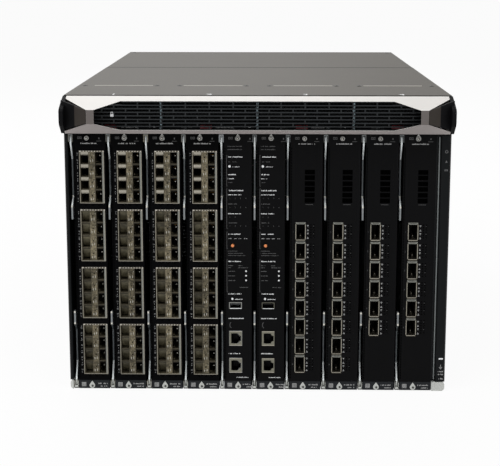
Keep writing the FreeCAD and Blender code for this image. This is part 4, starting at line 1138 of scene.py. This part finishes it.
def makeBlockFittings(bases):
    x0, z0 = bases[0][0], bases[0][2]
    rise = bases[1][2] - z0
    y = front
    inner = block["wall"]
    stripLeft = block["strip"]
    stripRight = stripLeft + block["stripWidth"]
    last = block["width"] - block["wall"]
    every = {"rows": 4, "up": block["row"], "groups": len(bases), "rise": rise}
    top = {"rows": 4, "up": block["row"]}
    whole = {"groups": len(bases), "rise": rise}
    lower = {"rows": 4, "up": block["row"], "groups": len(bases) - 1, "rise": rise}
    spot = [(x0, y, z0)]
    high = [(x0, y, bases[-1][2])]

    def fit(shape, finish, spots, layout):
        blockFittings.append((copies(shape, finish, spots, **layout), finish))
    tab = plateShape([(-0.3, 15.2), (-0.45, 12.4), (1.0, 10.8), (1.4, 10.8), (0.1, 12.5), (0.2, 15.2)],
                     inner + 0.3, stripLeft - 0.3)
    fit(tab, "tabNickel", high, top)
    flap = plateShape([(0.6, 14.4), (7.0, 2.2), (7.6, 2.2), (1.2, 14.4)], inner + 0.5, stripLeft - 0.4)
    fit(flap, "flapNickel", spot, lower)
    lip = plateShape([(0.2, 15.6), (0.2, 14.2), (1.0, 13.6), (1.4, 13.6), (1.2, 15.6)], inner + 0.2, stripLeft - 0.2)
    fit(lip, "cageNickel", spot, lower)
    fit(boxShape(((stripRight + 5.6, 1.2, 10.0), (stripRight + 6.3, 3.0, 10.7))), "brightPinAndGlint", spot, every)
    fit(boxShape(((stripRight + 2.0, 0.6, 3.2), (stripRight + 2.5, 2.4, 3.8)),
                 ((stripRight + 7.4, 0.6, 5.0), (stripRight + 7.8, 2.0, 5.6))), "stripNickel", spot, every)
    middle = stripLeft + block["stripWidth"] / 2
    ring = ringShape(2.1, 1.5, 0.3)
    for shift, z in ((-0.3, 4.4), (0.3, 11.4)):
        fit(ring, "flapNickel", [(x0 + middle + shift, y, z0 + z)], every)
    fit(boxShape(((middle - 1.7, -0.35, 3.0), (middle - 1.2, 0.05, 5.6)),
                 ((middle + 1.1, -0.35, 3.4), (middle + 1.6, 0.05, 6.2)),
                 ((middle + 2.3, -0.3, 10.6), (middle + 2.8, 0.05, 11.3))), "brightPinAndGlint", spot, every)
    fit(boxShape(((stripLeft + 0.6, -0.1, 1.0), (stripLeft + 1.4, 0.02, 3.8)),
                 ((stripRight - 1.5, -0.1, 10.4), (stripRight - 0.8, 0.02, 13.2))), "cageDark", spot, every)
    fit(boxShape(((stripLeft + 0.1, -0.2, 0.0), (stripRight - 0.1, 0.05, 0.35)),
                 ((stripLeft - 0.2, -0.15, -1.0), (stripLeft + 0.3, 0.3, 14.0)),
                 ((stripRight - 0.3, -0.15, -1.0), (stripRight + 0.2, 0.3, 14.0))), "cageNickel", spot, every)
    # a black square: painted shade of a hole
    holes = boxShape(((middle - 0.7, -0.05, 7.9), (middle + 0.7, 0.02, 9.3)))
    fit(holes, "holeShade", spot, every)
    tongue = boxShape(((inner + 1.4, 24.0, 5.2), (stripLeft - 1.4, 44.0, 7.4)),
                      ((stripRight + 1.4, 24.0, 5.2), (last - 1.4, 44.0, 7.4)))
    fit(tongue, "plugPlastic", spot, every)
    contacts = boxShape(*[((start + 1.9 + 1.1 * place, 24.4, 7.4), (start + 2.4 + 1.1 * place, 30.0, 7.6))
                          for start in (inner, stripRight) for place in range(5)])
    fit(contacts, "contactGold", spot, every)
    rim = block["rim"]
    width, height = block["width"], block["height"]
    frameBars = boxShape(((-0.2, -0.75, height - rim), (width + 0.2, -0.1, height + 0.2)))
    fit(frameBars, "rimNickel", spot, whole)
    wall = boxShape(((width - 2.0, -0.6, 0.0), (width - 0.3, -0.1, height - rim)))
    fit(wall, "wallNickel", spot, whole)
    sideBars = boxShape(((-0.3, -0.65, 0.0), (0.2, -0.1, height - rim)),
                        ((-0.3, -0.65, -0.3), (width + 0.2, -0.1, 0.2)),
                        ((width - 0.3, -0.7, 0.0), (width + 0.2, -0.1, height - rim)))
    fit(sideBars, "tabNickel", spot, whole)
    fit(boxShape(((inner, -0.1, 14.2), (stripLeft, 0.02, 14.8)), ((stripRight, -0.1, 14.2), (last - 1.0, 0.02, 14.8))),
        "cageDark", spot, every)
    springs = boxShape(*[((2.0 + 3.2 * place, -0.95, height - 0.9), (4.2 + 3.2 * place, -0.7, height + 0.1))
                         for place in range(8)])
    fit(springs, "cageNickel", spot, whole)
    # black notches: painted shade
    notches = boxShape(((5.2, -0.12, -3.6), (7.2, 0.02, -2.4)), ((13.0, -0.12, -3.6), (15.0, 0.02, -2.4)),
                       ((20.6, -0.12, -3.6), (22.6, 0.02, -2.4)))
    fit(notches, "holeShade", spot, whole)
    return x0


def portMarks(stock, bases):                              # numbers and arrows beside each block
    number = 1
    for base in reversed(bases):
        for row in range(3, -1, -1):
            z = base[2] + 1.0 + row * block["row"]
            x = base[0] - 2.6
            numeral(stock, str(number), x, front, z + 9.2, 1.5, "printWhite")
            numeral(stock, str(number + 1), x, front, z + 3.2, 1.5, "printWhite")
            arrow(stock, x, z + 12.4, 1.0, True, front, "printWhite")
            arrow(stock, x, z + 0.6, 1.0, False, front, "printWhite")
            number += 2


def smallCard(bases, firstLeft):
    def draw(stock):
        for mesh, finish in blockFittings:
            stock.mesh(mesh, finish, (bases[0][0] - firstLeft, 0, 0), False)
        portMarks(stock, bases)
        words(stock, bases[0][0] + 1.6, 294.8, 19.5, 1.5, front)
    return draw


firstLeft = None
for number in range(1, 5):
    node = "line_card_%d" % number
    bases = blockBases(node, block["width"], block["height"])
    if firstLeft is None:
        firstLeft = makeBlockFittings(bases)
    dressCard(node, smallCard(bases, firstLeft))
print("32-port cards: dressed")


# The cards with large ports

cage = {"width": 12.2, "height": 22.3, "mouth": (9.4, 17.4), "vent": (22.6, 225.6)}


def largeFittings(stock, bases):
    x0, z0 = bases[0][0], bases[0][2]
    up = bases[1][2] - z0
    rows = {"rows": len(bases), "up": up}
    width, height = cage["width"], cage["height"]
    side = (width - cage["mouth"][0]) / 2
    end = (height - cage["mouth"][1]) / 2
    spot = [(x0, front, z0)]

    def fit(shape, finish):
        addCopies(stock, shape, finish, spot, **rows)
    fit(boxShape(((1.4, -1.2, height - end + 0.4), (width - 1.4, -0.4, height + 0.1)),
                 ((0.5, -1.0, height - end + 1.1), (1.4, -0.4, height + 0.1)),
                 ((width - 1.4, -1.0, height - end + 1.1), (width - 0.5, -0.4, height + 0.1))), "wallNickel")
    fit(boxShape(((2.4, -1.25, height - 1.0), (width - 2.4, -1.1, height - 0.5))), "plugPlastic")
    fit(boxShape(((0.2, -0.9, end - 0.2), (0.9, -0.4, height - end + 0.3)),
                 ((width - 0.9, -0.9, end - 0.2), (width - 0.2, -0.4, height - end + 0.3)),
                 ((0.9, -0.9, end - 1.4), (width - 0.9, -0.4, end - 0.7))), "tabNickel")
    fit(boxShape(((width / 2 - 0.3, 3.0, 5.8), (width / 2 + 0.3, 4.2, 6.4))), "tabNickel")
    fit(plateShape([(2.0, 3.4), (10.0, 7.6), (10.4, 7.2), (2.4, 3.0)], width / 2 - 1.2, width / 2 + 1.2), "cageDark")
    fit(boxShape(((side + 1.8, 18.0, 4.6), (side + 3.6, 36.0, height - 4.6))), "plugPlastic")
    # a grid of black squares: painted shade of vent holes
    fit(boxShape(*[((width + 5.0 + 3.4 * column, -0.05, 3.6 + 3.0 * place), (width + 6.6 + 3.4 * column, 0.02,
                                                                            5.0 + 3.0 * place))
                   for column in range(2) for place in range(6)]), "holeShade")
    number = len(bases)
    for base in bases:
        x = base[0] + width + 2.2
        for place in range(4):
            z = base[2] + 4.0 + 4.6 * place
            arrow(stock, x, z, 2.3, place % 2 == 0, front, "printWhite")
            arrow(stock, x, z - 0.1, 1.0, place % 2 == 0, front - 0.06, "facePaint")
            mark(stock, x + 6.3, x + 7.0, z - 0.3, z + 0.3, front, "printFaint")
        numeral(stock, str(number), base[0] - 2.4, front, base[2] + 10.2, 1.7, "printFaint")
        number -= 1


def ventSlats(stock, node):                               # three slats across each vent window, and the dark behind
    left = boxOf(node)[0][0] - 0.3
    x0 = left + cage["vent"][0]
    z0 = 1.0 + cage["vent"][1]
    slat = boxShape(((0.0, 0.4, 5.5), (11.4, 1.2, 6.5)))
    addCopies(stock, slat, "facePaint", [(x0, front, z0)], rows=3, up=13.4)
    # a black sheet behind the slats: painted shade
    addCopies(stock, boxShape(((-1.0, 3.2, -1.0), (12.4, 3.6, 39.8))), "holeShade", [(x0, front, z0)])
    mark(stock, x0 + 1.0, x0 + 9.5, z0 - 2.0, z0 - 1.7, front, "printFaint")


def largeCard(node, bases):
    def draw(stock):
        largeFittings(stock, bases)
        ventSlats(stock, node)
        left = boxOf(node)[0][0] - 0.3
        words(stock, left + 14.8, 294.8, 19.5, 1.5, front)
    return draw


for number in range(5, 9):
    node = "line_card_%d" % number
    dressCard(node, largeCard(node, blockBases(node, cage["width"], cage["height"])))
print("large-port cards: dressed")


# The manager cards

panel = [     # height, shift from the card's left edge, length, letter height, tone
    (292.0, 10.2, 16.6, 1.5, "printFaint"), (288.4, 10.2, 16.6, 1.5, "printFaint"),
    (279.6, 10.9, 16.8, 2.1, "printWhite"), (274.1, 11.0, 3.0, 1.2, "printFaint"),
    (274.1, 16.0, 5.0, 1.2, "printFaint"), (268.2, 16.0, 7.6, 1.5, "printWhite"),
    (259.0, 10.9, 9.0, 2.1, "printWhite"), (254.3, 10.6, 7.4, 1.7, "printWhite"),
    (250.0, 11.2, 4.4, 1.2, "printFaint"), (240.3, 10.9, 17.3, 2.1, "printWhite"),
    (235.5, 10.6, 15.6, 1.7, "printWhite"), (224.7, 10.9, 10.2, 1.5, "printFaint"),
    (213.2, 10.6, 15.2, 1.7, "printWhite"), (202.4, 10.9, 10.0, 1.5, "printFaint"),
    (188.9, 10.9, 14.0, 2.1, "printWhite"), (168.9, 10.4, 11.0, 1.2, "printFaint"),
    (166.2, 10.4, 17.5, 1.2, "printFaint"), (163.6, 10.4, 20.5, 1.2, "printFaint"),
    (156.3, 10.9, 16.4, 2.1, "printWhite"), (151.4, 10.6, 5.5, 1.5, "printFaint"),
    (151.4, 22.6, 4.4, 1.5, "printFaint"), (149.0, 10.6, 4.6, 1.4, "printFaint"),
    (149.0, 22.6, 11.0, 1.4, "printFaint"), (144.6, 10.6, 8.0, 1.4, "printFaint"),
    (139.1, 10.6, 8.0, 1.4, "printFaint"), (133.5, 10.6, 8.0, 1.4, "printFaint"),
    (125.3, 24.0, 10.0, 1.4, "printFaint"), (117.2, 10.9, 15.0, 2.1, "printWhite"),
    (110.8, 18.4, 9.0, 1.6, "printWhite"), (87.4, 10.9, 18.0, 2.1, "printWhite"),
    (44.4, 10.9, 14.0, 2.1, "printWhite"), (15.2, 20.0, 14.0, 1.7, "printWhite"),
]
lamps = [(269.2, 12.5, 1.45, "lampWhite"), (145.3, 31.4, 1.0, "lampWhite"), (139.8, 31.4, 1.0, "lampWhite"),
         (134.2, 31.4, 1.0, "lampWhite"), (111.8, 15.4, 1.3, "lampWhite")]
lampRows = [(231.8, 4), (221.1, 4), (209.6, 2), (199.0, 4)]
brackets = [(246.0, 282.0), (196.0, 243.0), (172.0, 192.0), (120.0, 159.0)]
arcSizes = {"across": 16.6, "height": 80.0, "outer": 4.6, "inner": 4.1, "from": 130, "to": 235, "steps": 10}
jack = {"left": 11.5, "bases": (21.4, 54.6), "width": 15.2, "contacts": 8, "contactPitch": 1.1,
        "rims": ((2.4, 4.4, 3.2, 15.2), (4.4, 9.4, 3.0, 3.4), (4.4, 9.4, 15.0, 15.4), (11.0, 12.2, 5.2, 6.1),
                 (11.0, 12.2, 12.3, 13.2)), "shadeUpTo": 108.0}


def managerMarks(node):
    def draw(stock):
        left = boxOf(node)[0][0] - 0.3
        for z, shift, length, height, tone in panel:
            words(stock, left + shift, z, length, height * 0.62, front, "lampWhite" if tone == "printWhite" else tone)
        for z, shift, radius, tone in lamps:
            stock.disc(left + shift, z, radius, front - 0.3, front + 0.02, tone)
        for z, count in lampRows:
            for place in range(count):
                numeral(stock, str(place + 1), left + 12.8 + 6.1 * place, front, z - 0.7, 1.5, "printFaint")
        for place in range(4):
            words(stock, left + 11.0 + 6.0 * place, 183.7, 3.8, 1.0, front, "printWhite")
        for low, high in brackets:
            mark(stock, left + 9.0, left + 9.3, low, high, front, "printFaint")
            mark(stock, left + 9.3, left + 10.3, high - 0.3, high, front, "printFaint")
            mark(stock, left + 9.3, left + 10.3, low, low + 0.3, front, "printFaint")
        first, last, steps = arcSizes["from"], arcSizes["to"], arcSizes["steps"]
        arc = [(left + arcSizes["across"] + size * math.cos(turn), arcSizes["height"] + size * math.sin(turn))
               for size, start, end in ((arcSizes["outer"], first, last), (arcSizes["inner"], last, first))
               for turn in [math.radians(start + (end - start) * step / steps) for step in range(steps + 1)]]
        stock.slab(arc, front - 0.05, front + 0.02, "printFaint")
        jackFittings(stock, left + jack["left"])
    return draw


def jackFittings(stock, x):                               # contacts, rims and dark mouths of the jacks
    for base in jack["bases"]:
        for place in range(jack["contacts"]):
            z = base + 4.9 + jack["contactPitch"] * place
            stock.box((x + 3.6, front + 3.0, z), (x + 4.4, front + 12.0, z + 0.45), "contactGold")
        stock.box((x + 4.4, front + 9.0, base + 4.2), (x + 10.5, front + 14.0, base + 14.2), "plugPlastic")
        for low, high in ((0.4, 1.3), (17.1, 18.0)):
            stock.box((x + 0.4, front - 0.75, base + low), (x + 14.8, front - 0.45, base + high), "tabNickel")
        # black rims round each mouth: painted shade
        for x0, x1, z0, z1 in jack["rims"]:
            stock.box((x + x0, front - 0.6, base + z0), (x + x1, front - 0.44, base + z1), "holeShade")

    # faces inside the mouth painted black: painted shade
    def mouth(centre, normal):
        inside = x < centre.x < x + jack["width"] and centre.y > front + 0.3 and 20 < centre.z < jack["shadeUpTo"]
        return "holeShade" if inside and normal.y > -0.9 else None
    stock.repaint(mouth)
    # a white strip on the socket's lower lip: painted highlight
    stock.box((x + 1.1, front - 0.7, 99.9), (x + 14.4, front - 0.5, 100.6), "lampWhite")    # the socket's lower lip


def roundCap(node):
    low, high = boxOf(node)

    def draw(stock):
        x, z = (low[0] + high[0]) / 2, (low[2] + high[2]) / 2
        stock.disc(x, z, 1.75, low[1], high[1], "buttonLit", 20)
    return draw


for number in (1, 2):
    node = "manager_card_%d" % number
    dressCard(node, managerMarks(node))
    button = "mode_button_%d" % number
    dress(button, lambda low, high: None if low[1] < front else ("plugPlastic", 0.2), button, "button_plastic",
          roundCap(button))
print("manager cards: dressed")


# Rear: fan trays and fabric modules

tray = {"guardFirst": 11.0, "guardStep": 5.3, "guardRings": 4, "wire": 1.5, "hub": 9.0, "blades": 7, "rotorTip": 27.6,
        "rotorHub": 12.0, "rotorDepth": 21.0, "sweep": 0.75, "screws": (16.8, 286.8), "cornerAcross": 26.5,
        "cornerUp": 31.5, "lamp": (268.0, 270.0), "number": 30.0}


def trayPaint(low, high):
    size = [high[axis] - low[axis] for axis in range(3)]
    if size[0] > 100:
        return "zincSteel", 0.0
    if size[1] > 20 and size[0] < 13 and size[2] > 60:
        return "gripPlastic", 1.2
    if size[1] < 3:
        return None
    return ("zincSteel", 0.3) if size[2] > 200 else ("plugPlastic", 0.5)


def numeralFace(stock, text, x, y, z):                    # a number that reads from behind
    spare = Stock("spare")
    numeral(spare, text, 0, 0, 0, 5.0, "printWhite")
    stock.add([(x - px, y - py, z + pz) for px, py, pz in spare.points], spare.faces, "printWhite")


def trayRear(node, number):
    def draw(stock):
        low, high = boxOf(node)
        middle = (low[0] + high[0]) / 2
        rear = boxOf("rear_frame")[1][1]
        fans = centres("fan_rotors_%d" % number)
        guards = grown("guard", "screwSteel", [(x, rear + 1.0, z) for x, y, z in fans], {
            "First": tray["guardFirst"] * mm, "Step": tray["guardStep"] * mm, "Rings": tray["guardRings"],
            "Wire": tray["wire"] * mm, "Hub": tray["hub"] * mm})
        stock.mesh(guards, "screwSteel")
        screws(stock, "screwSteel", [(middle, rear, z) for z in tray["screws"]], 3.1, 2.3, 0.6, (-90, 0, 0))
        for x, y, z in fans:
            for side in (-1, 1):
                for rise in (-1, 1):
                    stock.disc(x + side * tray["cornerAcross"], z + rise * tray["cornerUp"], 2.0, rear, rear + 0.8,
                               "blackScrew", 8)
        stock.box((middle - 2, rear, tray["lamp"][0]), (middle + 2, rear + 0.6, tray["lamp"][1]), "lampWhite")
        numeralFace(stock, str(number), middle, rear, tray["number"])
    return draw


for number in (1, 2, 3):
    node = "fan_tray_%d" % number
    dress(node, trayPaint, node, "tray_steel", trayRear(node, number))
    rotors = Stock("fan_rotors_%d_dressed" % number)
    wheels = grown("rotor", "fanPlastic", centres("fan_rotors_%d" % number), {
        "Hub": tray["rotorHub"] * mm, "Tip": tray["rotorTip"] * mm, "Depth": tray["rotorDepth"] * mm,
        "Blades": tray["blades"], "Sweep": tray["sweep"]})
    rotors.mesh(wheels, "fanPlastic")
    rotors.done(node, "rotor_plastic", ["fan_rotors_%d" % number])


def modulePaint(low, high):
    size = [high[axis] - low[axis] for axis in range(3)]
    if size[0] < 2:
        return "boardGreen", 0.15
    if size[0] > 100:
        return "zincSteel", 0.0
    return ("sinkAluminium", 0.8) if size[2] > 60 else ("plugPlastic", 0.5)


for number in (1, 2, 3):
    node = "fabric_module_%d" % number
    dress(node, modulePaint, node, "module_steel")
print("rear: dressed")


# Floor, light and camera

studio = {"lens": 77.13, "place": (10.7, -1510.6, 498.3), "tilt": 8.84, "yaw": 0.9, "shiftY": -0.205,
          "ambient": 0.5, "floorGlow": 0.93, "floorSize": 30.0, "floorDrop": 0.0004, "aim": (0, 0, 0.2)}
softboxes = [       # place in metres, size, power
    ((-1.6, -1.7, 2.9), 2.2, 40.0),
    ((1.8, -1.7, 2.7), 2.2, 24.0),
    ((-0.5, 1.5, 1.9), 1.8, 17.0),
]


def backdropRays(tree):                                   # 1 for what camera, metal and glass see of the backdrop
    path = tree.add("ShaderNodeLightPath", {}, {}, "Is Camera Ray")
    return path + tree.pick(path, "Is Glossy Ray") + tree.pick(path, "Is Transmission Ray")


def makeFloor():
    bpy.ops.mesh.primitive_plane_add(size=studio["floorSize"], location=(0, 0, -studio["floorDrop"]))
    floor = bpy.context.object
    floor.name = "studio_floor"
    finish = Finish("studioFloor")
    seen = backdropRays(finish)
    cloth = finish.add("ShaderNodeBsdfDiffuse", {}, {"Color": rgb(246, 246, 246)})
    glow = finish.add("ShaderNodeEmission", {}, {"Color": (1, 1, 1, 1), "Strength": 1.0})
    shader = finish.add("ShaderNodeMixShader", {}, {0: seen * studio["floorGlow"], 1: cloth, 2: glow})
    floor.data.materials.append(finish.done(shader))


def makeWorld():
    world = bpy.data.worlds.new("studio")
    world.use_nodes = True
    world.node_tree.nodes.clear()
    scene.world = world
    sky = NodeTree()
    sky.tree = world.node_tree
    seen = backdropRays(sky)
    dim = sky.add("ShaderNodeBackground", {}, {"Color": (1, 1, 1, 1), "Strength": studio["ambient"]})
    white = sky.add("ShaderNodeBackground", {}, {"Color": (1, 1, 1, 1), "Strength": 1.0})
    both = sky.add("ShaderNodeMixShader", {}, {0: seen, 1: dim, 2: white})
    sky.add("ShaderNodeOutputWorld", {}, {"Surface": both})


def makeLights():
    for place, size, power in softboxes:
        lamp = bpy.data.lights.new("softbox", "AREA")
        lamp.size = size
        lamp.energy = power
        holder = bpy.data.objects.new("softbox", lamp)
        holder.location = place
        aim = Vector(studio["aim"]) - Vector(place)
        holder.rotation_euler = aim.to_track_quat("-Z", "Y").to_euler()
        scene.collection.objects.link(holder)


def makeCamera():
    eye = bpy.data.cameras.new("camera")
    eye.lens = studio["lens"]
    eye.sensor_width = 36.0
    eye.shift_y = studio["shiftY"]
    holder = bpy.data.objects.new("camera", eye)
    holder.location = [part * mm for part in studio["place"]]
    holder.rotation_euler = (math.radians(90 - studio["tilt"]), 0, math.radians(studio["yaw"]))
    scene.collection.objects.link(holder)
    scene.camera = holder


makeFloor()
makeWorld()
makeLights()
makeCamera()
scene.view_settings.view_transform = "Standard"
print("studio: set")

bpy.context.view_layer.update()
